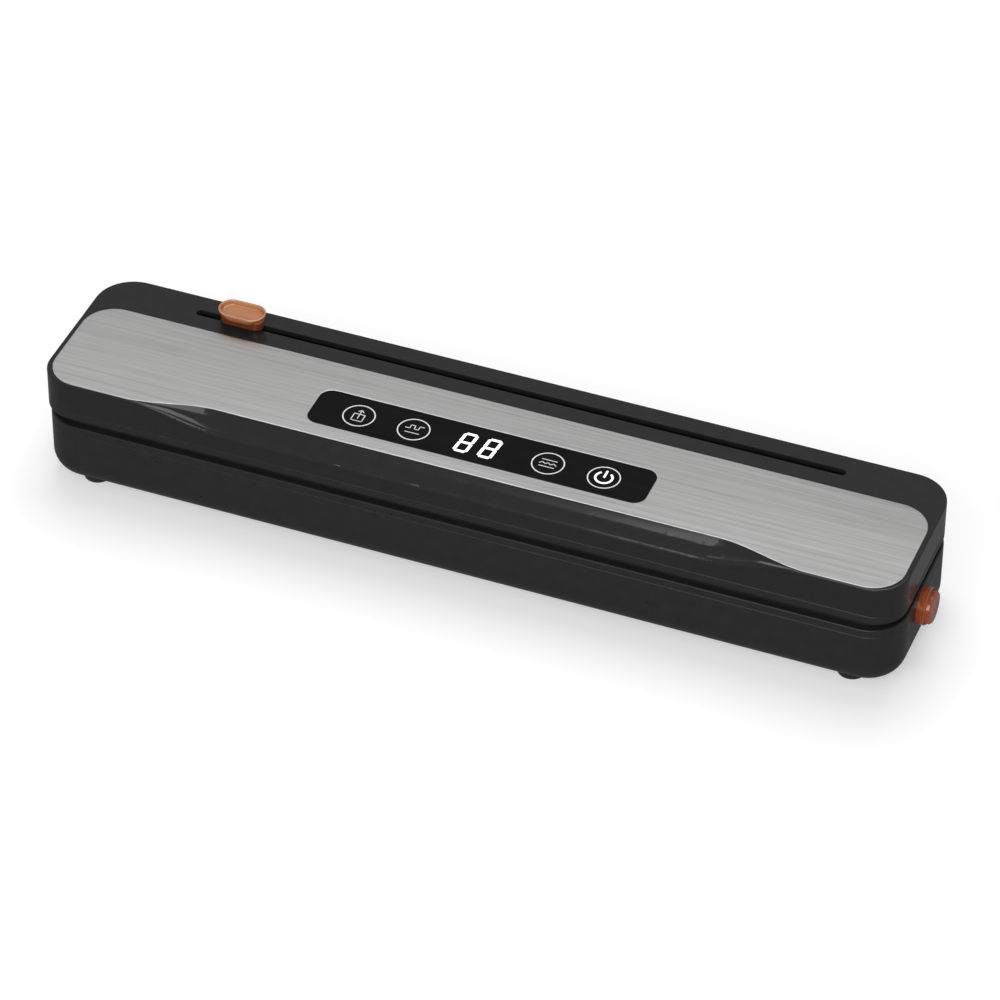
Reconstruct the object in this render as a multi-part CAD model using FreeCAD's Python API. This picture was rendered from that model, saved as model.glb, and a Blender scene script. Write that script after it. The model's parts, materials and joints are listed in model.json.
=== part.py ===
import FreeCAD, Part
import os
from math import sin, tan

"""Slim countertop vacuum sealer: base, hinged lid, sliding roll cutter and two release buttons.

Frame: millimetres, origin on the floor under the middle of the case, +X along the case to the right,
-Y to the front where the bag goes in, +Z up. The lid is closed at rest.
"""

# ---- driving dimensions -------------------------------------------------------------------------
LENGTH = 380.0
WIDTH = 77.0
HEIGHT = 55.0
FRONT_CORNER_R = 14.0
BACK_CORNER_R = 16.7
BASE_FRONT_CORNER_R = 16.5
WALL = 2.2

FOOT_HEIGHT = 2.4
BASE_BOTTOM_ROUND = 9.5
BASE_SEAM_Z = 29.0
BASE_TOP_Z = 32.8
DECK_PLATE = 2.2
PLATEAU_TOP_Z = 35.4
LID_BOTTOM_Z = 36.6
LID_SEAM_Z = 40.5
EDGE_ROUND = 0.7
SEAM_CHAMFER = 0.2
RUN_GAP = 0.3
PLATEAU_EDGE_ROUND = 0.8
PLATEAU_BACK_R = 9.0

# steel inlay and touch panel in the lid
INLAY_THICK = 0.5
INLAY_END_GAP = 2.1
INLAY_FRONT_Y = -37.6
INLAY_BACK_Y = 17.5
INLAY_CORNER_R = 14.3
INLAY_GAP = 0.08
PANEL_HALF_X = 74.7
PANEL_FRONT_Y = -22.8
PANEL_BACK_Y = -0.1
PANEL_CORNER_R = 5.5
PANEL_THICK = 1.2
PANEL_GAP = 0.1
DISPLAY_TOP_GAP = 0.1
SCREW_HEAD_INSET = 0.1
PANEL_EDGE_ROUND = 0.25
KEY_XS = (-54.3, -29.8, 29.8, 54.3)
TOUCH_PAD_R = 4.6
TOUCH_PAD_HOLE_R = 5.2
DISPLAY_X = -1.2
DISPLAY_HALF = (11.8, 6.4)
DISPLAY_HOLE_HALF = (12.5, 7.0)

# finger scoop in the front edge of the lid
SCOOP_Y = -30.35
SCOOP_DEPTH = 7.3
SCOOP_FLAT_X = 111.0
SCOOP_END_X = 151.0
SCOOP_DEPTH_FLAT_X = 105.0
SCOOP_RUN_OUT_X = 150.0
SCOOP_END_STEPS = 9
SCOOP_MIDDLE_STEPS = 12
SCOOP_EDGE_ROUND = 2.2
SCOOP_HOLLOW = 0.8
SCOOP_LIP_SHARE = 0.4
SCOOP_BACKING = 4.2
SCOOP_BACKING_Y = -27.0

# roll cutter
CUTTER_Y = 27.55
CUTTER_SLOT_HALF_X = 145.6
CUTTER_SLOT_WIDTH = 3.7
CUTTER_REST_X = -124.35
KNOB_LENGTH = 19.7
KNOB_WIDTH = 11.8
KNOB_TOP_ABOVE_LID = 7.0
KNOB_FLANGE = 2.0
KNOB_RIM = 1.3
KNOB_DISH = 1.1
KNOB_FLANGE_ROUND = 0.45
KNOB_DISH_ROUND = 0.5
KNOB_STEM = (18.3, 7.4)
KNOB_TONGUE = (12.0, 2.9)
CARRIAGE_HALF_X = 11.0
CARRIAGE_UNDER_Z = 39.9
CARRIAGE_CORNER_R = 1.2
BLADE_HALF_X = 4.0
BLADE_HALF_THICK = 0.25
BLADE_TOP_Z = 47.0
BLADE_SHOULDER_Z = 38.0
BLADE_TIP = (0.6, 34.0)
BLADE_SLOT = 2.4
RAIL_OVERRUN = 8.0
RAIL_INNER = 4.8
RAIL_WALL = 0.8
RAIL_TOP_Z = 46.0

# board and fixings in the lid
BOARD_Z = 48.5
BOARD_THICK = 1.6
BOARD_HALF_X = 69.0
BOARD_Y = (-22.4, -0.5)
BOARD_CORNER_R = 1.5
BOARD_POST_R = 2.0
BOARD_POST_X = 66.0
BOARD_POST_YS = (-20.5, -2.4)
CHIPS = (
    # x, y, length, width, height
    (-20.0, -11.0, 10.0, 10.0, 1.6),
    (10.0, -8.0, 6.0, 5.0, 1.4),
    (35.0, -14.0, 5.0, 4.0, 1.2),
    (-45.0, -14.0, 8.0, 5.0, 3.0),
)
ROOT = 0.5
LID_SCREW_XY = ((174.0, -20.0), (174.0, 20.0), (85.0, -19.85))
LID_BOSS_R = 2.5
LID_SCREW_R = 1.2
LID_SCREW_HEAD_R = 2.4
LID_SCREW_SINK_R = 2.5
LID_SCREW_SINK = 1.2
LID_SCREW_LENGTH = 7.0
LID_SCREW_CROSS = (1.3, 0.25, 0.6)
MAGNET = (165.0, -26.0, 3.2, 2.5)

# sealing and vacuum parts
CHAMBER_HALF_X = 150.0
CHAMBER_Y = (-8.0, 12.5)
CHAMBER_FLOOR_Z = 28.8
TRAY_UNDER_Z = 27.2
TRAY_WALL = 1.5
TRAY_GAP = 0.05
TRAY_FLANGE = 2.5
CHAMBER_ROOF_Z = 41.5
CHAMBER_CORNER_R = 4.0
CHAMBER_WALL = 2.0
CHAMBER_ROOF_THICK = 1.5
LAND_THICK = 1.5
GASKET_LAND = 1.2
GASKET_GAP = 3.0
GASKET_WIDTH = 5.0
GASKET_DEPTH = 2.0
GASKET_OUTER_R = 10.0
GASKET_INNER_R = 4.0
LOWER_GASKET_TOP_Z = 35.9
UPPER_GASKET_UNDER_Z = 36.25
HEATER_Y = -27.0
HEATER_HALF_X = 150.0
HEATER_HALF_Y = 4.0
HEATER_GROOVE_Z = 32.9
HEATER_BAR_TOP_Z = 35.8
RIBBON_HALF_Y = 1.5
RIBBON_TOP_Z = 35.95
TAPE_TOP_Z = 36.08
STRIP_HALF_Y = 3.0
STRIP_UNDER_Z = 36.4
STRIP_GROOVE_DEPTH = 2.5
STRIP_CHAMFER = 0.12
NOZZLE_X = 128.0
NOZZLE_Y = 3.0
NOZZLE_FLANGE_R = 5.0
NOZZLE_FLANGE_THICK = 1.4
NOZZLE_NECK_R = 2.6
NOZZLE_NECK_Z = 24.0
NOZZLE_END_Z = 19.0
SPIGOT_R = 1.5
SPIGOT_BORE_R = 0.9
NOZZLE_BORE_R = 1.0
LEAD_HOLE_R = 1.2
LEAD_R = 0.9
LEAD_END_INSET = 3.0

# hinge at the back
HINGE_Y = 35.7
HINGE_Z = 34.7
HINGE_STATIONS = (-120.0, 120.0)
KNUCKLE_R = 2.6
LID_KNUCKLE_HALF = 10.0
BASE_KNUCKLE = 11.0
HINGE_PIN_R = 1.0
HINGE_RUN = 0.05
KNUCKLE_CLEARANCE = 0.35
HINGE_HOLE_REACH = 30.0

# release buttons and latches at the ends
BUTTON_Y = -4.0
BUTTON_Z = 23.6
BUTTON_R = 7.2
BUTTON_TRAVEL = 2.0
BUTTON_PROUD = 5.8
BUTTON_EDGE_ROUND = 0.7
BUTTON_ROOT = 3.4
BEZEL_R = 8.2
BEZEL_PROUD = 3.6
BEZEL_CHAMFER = 0.5
BEZEL_SLEEVE = 0.2
BEZEL_SLEEVE_LENGTH = 3.1
BORE_REACH = 6.0
HOOK_X = (178.5, 181.5)
HOOK_HALF_Y = 4.0
HOOK_TIP_Z = 20.5
LATCH_SWING = 3.4
HOOK_CHAMFER = 0.9
HOOK_NOSE = 0.3
HOOK_NOSE_Z = (21.45, 21.85)
FRAME_INNER_X = 172.0
FRAME_HALF_THICK = 1.5
FRAME_Y = (-14.5, 4.5)
SPRING_STOP_X = (161.0, 163.5)
SPRING_STOP_HALF_Y = 6.0
SPRING_STOP_RISE = 5.0
SPRING_R = 2.6
SPRING_WIRE_R = 0.35
SPRING_TURNS = 5
SPRING_PLAY = 0.1
PEG_R = 1.6
PEG_LENGTH = 2.0

FOOT_R = 6.2
FOOT_X = 169.0
FOOT_Y = 27.0
FOOT_EDGE_ROUND = 0.6
FOOT_SEAT = 2.2
PLUG_R = 2.4
PLUG_HOLE_R = 2.5
PLUG_UNDER_Z = 1.0
PLUG_ABOVE_FLOOR = 1.5

# mains inlet
SOCKET_X = -148.0
SOCKET_Z = 17.0
SOCKET_HALF = (12.0, 8.0)
SOCKET_DEPTH = 17.0
SOCKET_RECESS = 0.3
SOCKET_EDGE_ROUND = 1.0
PLUG_SPACE_HALF = (8.4, 4.2)
PLUG_SPACE_DEPTH = 14.0
PIN_R = 1.2
PIN_X = 4.3
PIN_SET_BACK = 4.0
PIN_END_ROUND = 0.5

# fixings and vents in the base
BASE_SCREW_XS = (-130.0, 0.0, 130.0)
BASE_SCREW_YS = (-30.0, 30.0)
BOSS_TOP_Z = 24.0
BOSS_R = 4.2
DECK_BOSS_R = 3.6
BASE_SCREW_R = 1.4
BASE_SCREW_HOLE_R = 1.6
BASE_SCREW_HEAD_R = 2.8
BASE_SCREW_SINK_R = 3.2
BASE_SCREW_HEAD_Z = (6.4, 8.0)
BASE_SCREW_CROSS = (1.6, 0.3, 0.8)
FLOOR_ROOT = 0.6
VENT_COUNT = 9
VENT_FIRST_X = 58.0
VENT_PITCH = 5.0
VENT_WIDTH = 2.4
VENT_Y = (2.0, 18.0)
CUT_GROOVE_HALF_Y = 1.3
CUT_GROOVE_DEPTH = 0.2
AIR_HOLE_R = 0.9

# pump, valve and hoses
MOTOR_R = 10.2
MOTOR_X = (62.0, 100.0)
MOTOR_Y = 10.0
MOTOR_Z = 16.0
MOTOR_EDGE_ROUND = 1.0
MOTOR_END = (3.0, 2.5)
PUMP_X = (38.0, 62.0)
PUMP_Y = (-1.0, 21.0)
PUMP_Z = (6.0, 26.0)
PUMP_EDGE_ROUND = 2.0
PUMP_PORT_Z = 11.0
PUMP_PORT_PITCH = 7.0
PUMP_PORT_LENGTH = 5.0
PUMP_PORT_BORE_END_Y = 4.0
CRADLE_X = (66.0, 96.0)
CRADLE_HALF_Y = 8.0
CRADLE_TOP_Z = 10.0
HOSE_R = 2.5
HOSE_BORE_R = 1.5
VACUUM_HOSE_BEND = 7.0
VACUUM_HOSE_TOP_Z = 22.0
VACUUM_HOSE_Y = -18.0
VACUUM_HOSE_END_Y = -2.0
VALVE_X = (112.0, 124.0)
VALVE_Y = (20.0, 32.0)
VALVE_Z = (5.6, 20.0)
VALVE_EDGE_ROUND = 1.0
VALVE_SPIGOT_Y = 15.5
VALVE_SPIGOT_Z = 12.0
VALVE_BORE_END_Y = 24.0
VALVE_PORT_Y = 6.0
VALVE_PORT_END_Z = 21.0
VALVE_HOSE_Y = 19.0
VALVE_HOSE_TOP_Z = 24.5
VALVE_HOSE_BEND = 6.0

# mains board
MAINS_X = (-149.0, -45.0)
MAINS_Y = (-25.0, 17.0)
MAINS_Z = (8.0, 9.6)
MAINS_CORNER_R = 1.5
MAINS_POST_R = 2.4
MAINS_POST_XS = (-146.0, -48.0)
MAINS_POST_YS = (-22.0, 14.0)
MAINS_BLOCKS = (
    # x0, x1, y0, y1, top
    (-140.0, -128.0, -20.0, -12.0, 17.0),
    (-122.0, -116.0, -21.0, -9.0, 19.0),
    (-60.0, -50.0, -20.0, -4.0, 15.0),
    (-60.0, -50.0, 2.0, 10.0, 13.0),
)
MAINS_CANS = ((-108.0, -16.0), (-101.0, -16.0), (-66.0, 12.0), (-73.0, 12.0))
MAINS_CAN_R = 2.6
MAINS_CAN_TOP_Z = 16.0
CORE_X = (-96.0, -72.0)
CORE_Y = (-10.0, 8.0)
CORE_TOP_Z = 24.0
WINDING_SIDE = 4.0
WINDING_LEVEL = 2.0
WINDING_ROUND = 2.0
CAPACITOR_R = 6.0
CAPACITOR_X = (-128.0, -106.0)
CAPACITOR_Y = 6.0
CAPACITOR_Z = 16.0
CAPACITOR_ROUND = 0.8
LEAD_TOP_Z = 35.4
RIGHT_LEAD_BEND = 6.0
RIGHT_LEAD_RUN = ((139.0, -23.3, 9.0), (-25.0, -23.3, 9.0), (-40.0, -14.0, 12.4), (-49.9, -14.0, 12.4))
LEFT_LEAD_BEND = 2.5
LEFT_LEAD_RUN = ((-137.0, -24.0, 13.5), (-138.0, -21.0, 13.5))
LEAD_DROP_Z = 20.0
SENSOR_BOARD = (158.0, 172.0, -30.0, -22.0, 27.0, 28.5)
REED_R = 1.1
REED_X = (159.5, 170.5)
REED_YZ = (-26.0, 29.3)

# ---- worked-out levels --------------------------------------------------------------------------
HALF_L = LENGTH / 2
HALF_W = WIDTH / 2
PLATEAU_INSET = 3.4
PLATEAU_BACK_Y = HALF_W - 7.0
LID_ROOF_Z = HEIGHT - 2.4
TUB_FLOOR_Z = FOOT_HEIGHT + WALL
DECK_UNDER_Z = BASE_TOP_Z - DECK_PLATE
LID_PLATE_Z = LID_BOTTOM_Z + WALL
RAIL_HALF_X = CUTTER_SLOT_HALF_X + RAIL_OVERRUN
PANEL_MID_Y = (PANEL_FRONT_Y + PANEL_BACK_Y) / 2
PANEL_UNDER_Z = HEIGHT - PANEL_THICK
BOARD_TOP_Z = BOARD_Z + BOARD_THICK
KNOB_TONGUE_Z = LID_ROOF_Z - 1.2
LEAD_X = HEATER_HALF_X - LEAD_END_INSET
SOCKET_FACE_Y = HALF_W - SOCKET_RECESS
BUTTON_INNER_X = HALF_L - BUTTON_ROOT
FRAME_Z = (BUTTON_Z - FRAME_HALF_THICK, BUTTON_Z + FRAME_HALF_THICK)
VALVE_MID_X = (VALVE_X[0] + VALVE_X[1]) / 2
PUMP_INLET_X = (PUMP_X[0] + PUMP_X[1]) / 2
LID_SCREW_SPOTS = [(side * x, y) for side in (-1, 1) for x, y in LID_SCREW_XY]
BASE_SCREW_SPOTS = [(x, y) for x in BASE_SCREW_XS for y in BASE_SCREW_YS]

# ---- working margins ----------------------------------------------------------------------------
OVER = 1.0
THROUGH = 10.0
TOUCH = 1e-4


def vec(x, y, z):
    """Point or direction."""
    return FreeCAD.Vector(x, y, z)


def box(x0, x1, y0, y1, z0, z1):
    """Box between pairs of planes."""
    return Part.makeBox(x1 - x0, y1 - y0, z1 - z0, vec(x0, y0, z0))


def disc(radius, x, y, z0, z1):
    """Upright cylinder between two levels."""
    return Part.makeCylinder(radius, z1 - z0, vec(x, y, z0))


def bar_x(radius, x0, x1, y, z):
    """Cylinder along X."""
    return Part.makeCylinder(radius, x1 - x0, vec(x0, y, z), vec(1, 0, 0))


def bar_y(radius, x, y0, y1, z):
    """Cylinder along Y."""
    return Part.makeCylinder(radius, y1 - y0, vec(x, y0, z), vec(0, 1, 0))


def outline(x0, x1, y0, y1, front_r, back_r, z):
    """Closed wire: a rectangle with its own corner radius at the front and at the back."""
    corners = (
        (x1 - front_r, y0 + front_r, front_r, -90),
        (x1 - back_r, y1 - back_r, back_r, 0),
        (x0 + back_r, y1 - back_r, back_r, 90),
        (x0 + front_r, y0 + front_r, front_r, 180),
    )
    arcs = [Part.makeCircle(r, vec(cx, cy, z), vec(0, 0, 1), start, start + 90)
            for cx, cy, r, start in corners]
    edges = []
    for index, arc in enumerate(arcs):
        edges.append(arc)
        here = arc.Vertexes[-1].Point
        following = arcs[(index + 1) % 4].Vertexes[0].Point
        edges.append(Part.makeLine(here, following))
    return Part.Wire(edges)


def slab(x0, x1, y0, y1, front_r, back_r, z0, z1):
    """Upright prism on the outline."""
    face = Part.Face(outline(x0, x1, y0, y1, front_r, back_r, z0))
    return face.extrude(vec(0, 0, z1 - z0))


def case_slab(inset, z0, z1, front_r=FRONT_CORNER_R):
    """Prism on the case outline, set in all round."""
    return slab(-HALF_L + inset, HALF_L - inset, -HALF_W + inset, HALF_W - inset,
                front_r - inset, BACK_CORNER_R - inset, z0, z1)


def base_slab(inset, z0, z1):
    """Prism on the base's outline, whose front corners are rounder than the lid's."""
    return case_slab(inset, z0, z1, BASE_FRONT_CORNER_R)


def round_box(x0, x1, y0, y1, z0, z1, radius):
    """Upright prism with four equal corner radii."""
    return slab(x0, x1, y0, y1, radius, radius, z0, z1)


def stadium(x, y, length, width, z0, z1):
    """Upright prism with half-round ends, long along X."""
    end = length / 2 - width / 2
    body = box(x - end, x + end, y - width / 2, y + width / 2, z0, z1)
    body = body.fuse(disc(width / 2, x - end, y, z0, z1))
    return body.fuse(disc(width / 2, x + end, y, z0, z1)).removeSplitter()


def prism_x(points_yz, x0, x1):
    """Prism along X on a polygon given in Y and Z."""
    wire = Part.makePolygon([vec(x0, y, z) for y, z in points_yz + points_yz[:1]])
    return Part.Face(wire).extrude(vec(x1 - x0, 0, 0))


def edges_at(shape, z):
    """Edges that lie wholly at one level."""
    return [e for e in shape.Edges if abs(e.BoundBox.ZMin - z) < TOUCH and abs(e.BoundBox.ZMax - z) < TOUCH]


def edges_across(shape, x):
    """Edges that lie wholly in one plane across the case."""
    return [e for e in shape.Edges if abs(e.BoundBox.XMin - x) < TOUCH and abs(e.BoundBox.XMax - x) < TOUCH]


def edges_facing(shape, y):
    """Edges that lie wholly in one plane along the case."""
    return [e for e in shape.Edges if abs(e.BoundBox.YMin - y) < TOUCH and abs(e.BoundBox.YMax - y) < TOUCH]


def upright_edges(shape, height):
    """Edges that rise by more than a height."""
    return [e for e in shape.Edges if e.BoundBox.ZLength > height]


def cross_recess(x, y, half_length, half_width, z0, z1):
    """Tool for a screw head's cross."""
    first = box(x - half_length, x + half_length, y - half_width, y + half_width, z0, z1)
    return first.fuse(box(x - half_width, x + half_width, y - half_length, y + half_length, z0, z1))


def mirror_x(shape):
    """The same shape at the other end of the case."""
    return shape.mirror(vec(0, 0, 0), vec(1, 0, 0))


def both_ends(shape):
    """A shape and its mirror image at the other end."""
    return [shape, mirror_x(shape)]


def joined(first, others):
    """One solid from a body and the pieces that grow out of it."""
    for other in others:
        first = first.fuse(other)
    return first.removeSplitter()


def cut_all(body, tools):
    """A body less every tool in turn."""
    for tool in tools:
        body = body.cut(tool)
    return body


def tube_path(points, bend):
    """Straight runs joined by tangent arcs of one bend radius."""
    edges = []
    start = vec(*points[0])
    for before, here, after in zip(points, points[1:], points[2:]):
        corner = vec(*here)
        back = (vec(*before) - corner).normalize()
        ahead = (vec(*after) - corner).normalize()
        half = back.getAngle(ahead) / 2
        reach = bend / tan(half)
        first = corner + back * reach
        last = corner + ahead * reach
        centre = corner + (back + ahead).normalize() * (bend / sin(half))
        middle = centre + (corner - centre).normalize() * bend
        edges.append(Part.makeLine(start, first))
        edges.append(Part.Arc(first, middle, last).toShape())
        start = last
    edges.append(Part.makeLine(start, vec(*points[-1])))
    return Part.Wire(edges)


def sweep(path, radius):
    """Round rod along a path."""
    first = path.Edges[0]
    tangent = first.tangentAt(first.FirstParameter)
    profile = Part.Wire(Part.makeCircle(radius, first.Vertexes[0].Point, tangent))
    return path.makePipeShell([profile], True, True)


def hose(points, bend):
    """Hose along straight runs joined by bends."""
    path = tube_path(points, bend)
    return sweep(path, HOSE_R).cut(sweep(path, HOSE_BORE_R))


def smooth_step(t):
    """Rises from 0 to 1 with level ends."""
    t = min(max(t, 0.0), 1.0)
    return t * t * (3 - 2 * t)


# ---- lid ------------------------------------------------------------------------------------------

def front_edge_y(x):
    """Front edge of the steel inlay: stepped back over the finger scoop."""
    t = (abs(x) - SCOOP_FLAT_X) / (SCOOP_END_X - SCOOP_FLAT_X)
    return SCOOP_Y + (INLAY_FRONT_Y - SCOOP_Y) * smooth_step(t)


def scoop_depth(x):
    """Depth of the scoop where it meets the front wall."""
    t = (abs(x) - SCOOP_DEPTH_FLAT_X) / (SCOOP_END_X - SCOOP_DEPTH_FLAT_X)
    return SCOOP_DEPTH * (1 - smooth_step(t)) + SEAM_CHAMFER / 4


def scoop_section(x):
    """Section of what the scoop takes away: a hollow slope that rolls over a lip into the front wall."""
    top = vec(x, front_edge_y(x), HEIGHT)
    lip = vec(x, -HALF_W, HEIGHT - scoop_depth(x))
    slope = lip - top
    full_slope = -HALF_W - SCOOP_Y
    share = min(SCOOP_EDGE_ROUND, SCOOP_LIP_SHARE * slope.Length)
    hollow = SCOOP_HOLLOW * min(1.0, slope.Length / abs(full_slope))
    slope.normalize()
    begin = lip - slope * share
    finish = lip - vec(0, 0, share)
    lowest = (top + begin) * 0.5 + vec(0, -slope.z, slope.y) * 2 * hollow
    onward = begin - lowest
    onward.normalize()
    valley = Part.BezierCurve()
    valley.setPoles([top, lowest, begin])
    roll = Part.BezierCurve()
    roll.setPoles([begin, begin + onward * share * 2 * SCOOP_LIP_SHARE, finish + vec(0, 0, share / 2), finish])
    corners = [finish, vec(x, -HALF_W - OVER, finish.z), vec(x, -HALF_W - OVER, HEIGHT + OVER),
               vec(x, top.y, HEIGHT + OVER), top]
    straight = [Part.makeLine(start, end) for start, end in zip(corners, corners[1:])]
    return Part.Wire([valley.toShape(), roll.toShape()] + straight)


def scoop_tool():
    """What the scoop takes away: one loft, straight in the middle, with an S-curve run-out at each end."""
    run = SCOOP_RUN_OUT_X - SCOOP_DEPTH_FLAT_X
    right = [SCOOP_DEPTH_FLAT_X + run * k / SCOOP_END_STEPS for k in range(SCOOP_END_STEPS + 1)]
    middle = [SCOOP_DEPTH_FLAT_X * k / SCOOP_MIDDLE_STEPS
              for k in range(1 - SCOOP_MIDDLE_STEPS, SCOOP_MIDDLE_STEPS)]
    places = [-x for x in reversed(right)] + middle + right
    return Part.makeLoft([scoop_section(x) for x in places], True, False)


def inlay_outline(gap, z0, z1):
    """Prism on the steel inlay's outline, grown by a gap."""
    x1 = HALF_L - INLAY_END_GAP + gap
    y0 = INLAY_FRONT_Y - gap
    y1 = INLAY_BACK_Y + gap
    radius = INLAY_CORNER_R + gap
    steps = 10
    run = SCOOP_END_X - SCOOP_FLAT_X
    curve = [vec(SCOOP_FLAT_X + run * k / steps, front_edge_y(SCOOP_FLAT_X + run * k / steps) - gap, z0)
             for k in range(steps + 1)]
    right = Part.BSplineCurve()
    right.interpolate(curve, InitialTangent=vec(1, 0, 0), FinalTangent=vec(1, 0, 0))
    left = right.toShape().mirror(vec(0, 0, 0), vec(1, 0, 0))
    edges = [
        Part.makeLine(vec(-SCOOP_FLAT_X, SCOOP_Y - gap, z0), vec(SCOOP_FLAT_X, SCOOP_Y - gap, z0)),
        right.toShape(),
        Part.makeLine(curve[-1], vec(x1 - radius, y0, z0)),
        Part.makeCircle(radius, vec(x1 - radius, y0 + radius, z0), vec(0, 0, 1), 270, 360),
        Part.makeLine(vec(x1, y0 + radius, z0), vec(x1, y1 - radius, z0)),
        Part.makeCircle(radius, vec(x1 - radius, y1 - radius, z0), vec(0, 0, 1), 0, 90),
        Part.makeLine(vec(x1 - radius, y1, z0), vec(-x1 + radius, y1, z0)),
        Part.makeCircle(radius, vec(-x1 + radius, y1 - radius, z0), vec(0, 0, 1), 90, 180),
        Part.makeLine(vec(-x1, y1 - radius, z0), vec(-x1, y0 + radius, z0)),
        Part.makeCircle(radius, vec(-x1 + radius, y0 + radius, z0), vec(0, 0, 1), 180, 270),
        Part.makeLine(vec(-x1 + radius, y0, z0), vec(-SCOOP_END_X, y0, z0)),
        left,
    ]
    wire = Part.Wire(Part.__sortEdges__(edges))
    return Part.Face(wire).extrude(vec(0, 0, z1 - z0))


def panel_slab(gap, z0, z1):
    """Prism on the touch panel's outline, grown by a gap."""
    return round_box(-PANEL_HALF_X - gap, PANEL_HALF_X + gap, PANEL_FRONT_Y - gap, PANEL_BACK_Y + gap,
                     z0, z1, PANEL_CORNER_R + gap)


def display_box(half, z0, z1):
    """Box round the display's place."""
    half_x, half_y = half
    return box(DISPLAY_X - half_x, DISPLAY_X + half_x, PANEL_MID_Y - half_y, PANEL_MID_Y + half_y, z0, z1)


def lid_cover():
    """Upper moulding of the lid: top, walls, recess for the inlay, cutter slot and finger scoop."""
    body = case_slab(0, LID_SEAM_Z, HEIGHT)
    body = body.makeFillet(EDGE_ROUND, edges_at(body, HEIGHT))
    body = body.makeChamfer(SEAM_CHAMFER, edges_at(body, LID_SEAM_Z))
    cavity = case_slab(WALL, LID_SEAM_Z - OVER, LID_ROOF_Z)
    backing_z = HEIGHT - SCOOP_DEPTH - SCOOP_BACKING
    scoop_backing = prism_x([(-HALF_W - OVER, backing_z), (SCOOP_BACKING_Y, HEIGHT),
                             (SCOOP_BACKING_Y, HEIGHT + OVER), (-HALF_W - OVER, HEIGHT + OVER)],
                            -SCOOP_END_X - WALL, SCOOP_END_X + WALL)
    body = body.cut(cavity.cut(scoop_backing))
    body = body.cut(scoop_tool())
    body = body.cut(inlay_outline(INLAY_GAP, HEIGHT - INLAY_THICK, HEIGHT + OVER))
    body = body.cut(panel_slab(PANEL_GAP, PANEL_UNDER_Z, HEIGHT))
    body = body.cut(stadium(0, CUTTER_Y, 2 * CUTTER_SLOT_HALF_X, CUTTER_SLOT_WIDTH, LID_ROOF_Z - OVER,
                            HEIGHT + OVER))
    pad_holes = [disc(TOUCH_PAD_HOLE_R, x, PANEL_MID_Y, LID_ROOF_Z - OVER, HEIGHT) for x in KEY_XS]
    body = cut_all(body, pad_holes)
    body = body.cut(display_box(DISPLAY_HOLE_HALF, LID_ROOF_Z - OVER, HEIGHT))
    bosses = [disc(LID_BOSS_R, x, y, LID_PLATE_Z, LID_ROOF_Z + ROOT) for x, y in LID_SCREW_SPOTS]
    posts = [disc(BOARD_POST_R, side * BOARD_POST_X, y, BOARD_TOP_Z, LID_ROOF_Z + ROOT)
             for side in (-1, 1) for y in BOARD_POST_YS]
    body = joined(body, bosses + posts)
    return cut_all(body, [disc(LID_SCREW_R, x, y, LID_PLATE_Z - OVER, LID_PLATE_Z + LID_SCREW_LENGTH + OVER)
                          for x, y in LID_SCREW_SPOTS])


def brushed_plate():
    """Steel inlay with a hole for the touch panel."""
    plate = inlay_outline(0, HEIGHT - INLAY_THICK, HEIGHT)
    return plate.cut(panel_slab(PANEL_GAP, HEIGHT - OVER, HEIGHT + OVER))


def touch_panel():
    """Touch panel with a softened edge."""
    panel = panel_slab(0, PANEL_UNDER_Z, HEIGHT)
    return panel.makeFillet(PANEL_EDGE_ROUND, edges_at(panel, HEIGHT))


def control_board():
    """Board under the touch panel, hung from the cover's posts, with its chips."""
    front_y, back_y = BOARD_Y
    board = round_box(-BOARD_HALF_X, BOARD_HALF_X, front_y, back_y, BOARD_Z, BOARD_TOP_Z, BOARD_CORNER_R)
    chips = [box(x - length / 2, x + length / 2, y - width / 2, y + width / 2, BOARD_Z - height, BOARD_Z)
             for x, y, length, width, height in CHIPS]
    return joined(board, chips)


def display_module():
    """Two-digit display under the panel."""
    return display_box(DISPLAY_HALF, BOARD_TOP_Z, PANEL_UNDER_Z - DISPLAY_TOP_GAP)


def touch_pad(x):
    """Conductive foam pillar that carries one key's field up to the panel."""
    return disc(TOUCH_PAD_R, x, PANEL_MID_Y, BOARD_TOP_Z, PANEL_UNDER_Z)


def gasket_ring(z0, z1, spare=0.0):
    """Ring that runs round the vacuum chamber."""
    x_in = CHAMBER_HALF_X + GASKET_GAP - spare
    y_in = (CHAMBER_Y[0] - GASKET_GAP + spare, CHAMBER_Y[1] + GASKET_GAP - spare)
    width = GASKET_WIDTH + 2 * spare
    outer = round_box(-x_in - width, x_in + width, y_in[0] - width, y_in[1] + width, z0, z1,
                      GASKET_OUTER_R + spare)
    inner = round_box(-x_in, x_in, y_in[0], y_in[1], z0 - OVER, z1 + OVER, GASKET_INNER_R - spare)
    return outer.cut(inner)


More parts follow.
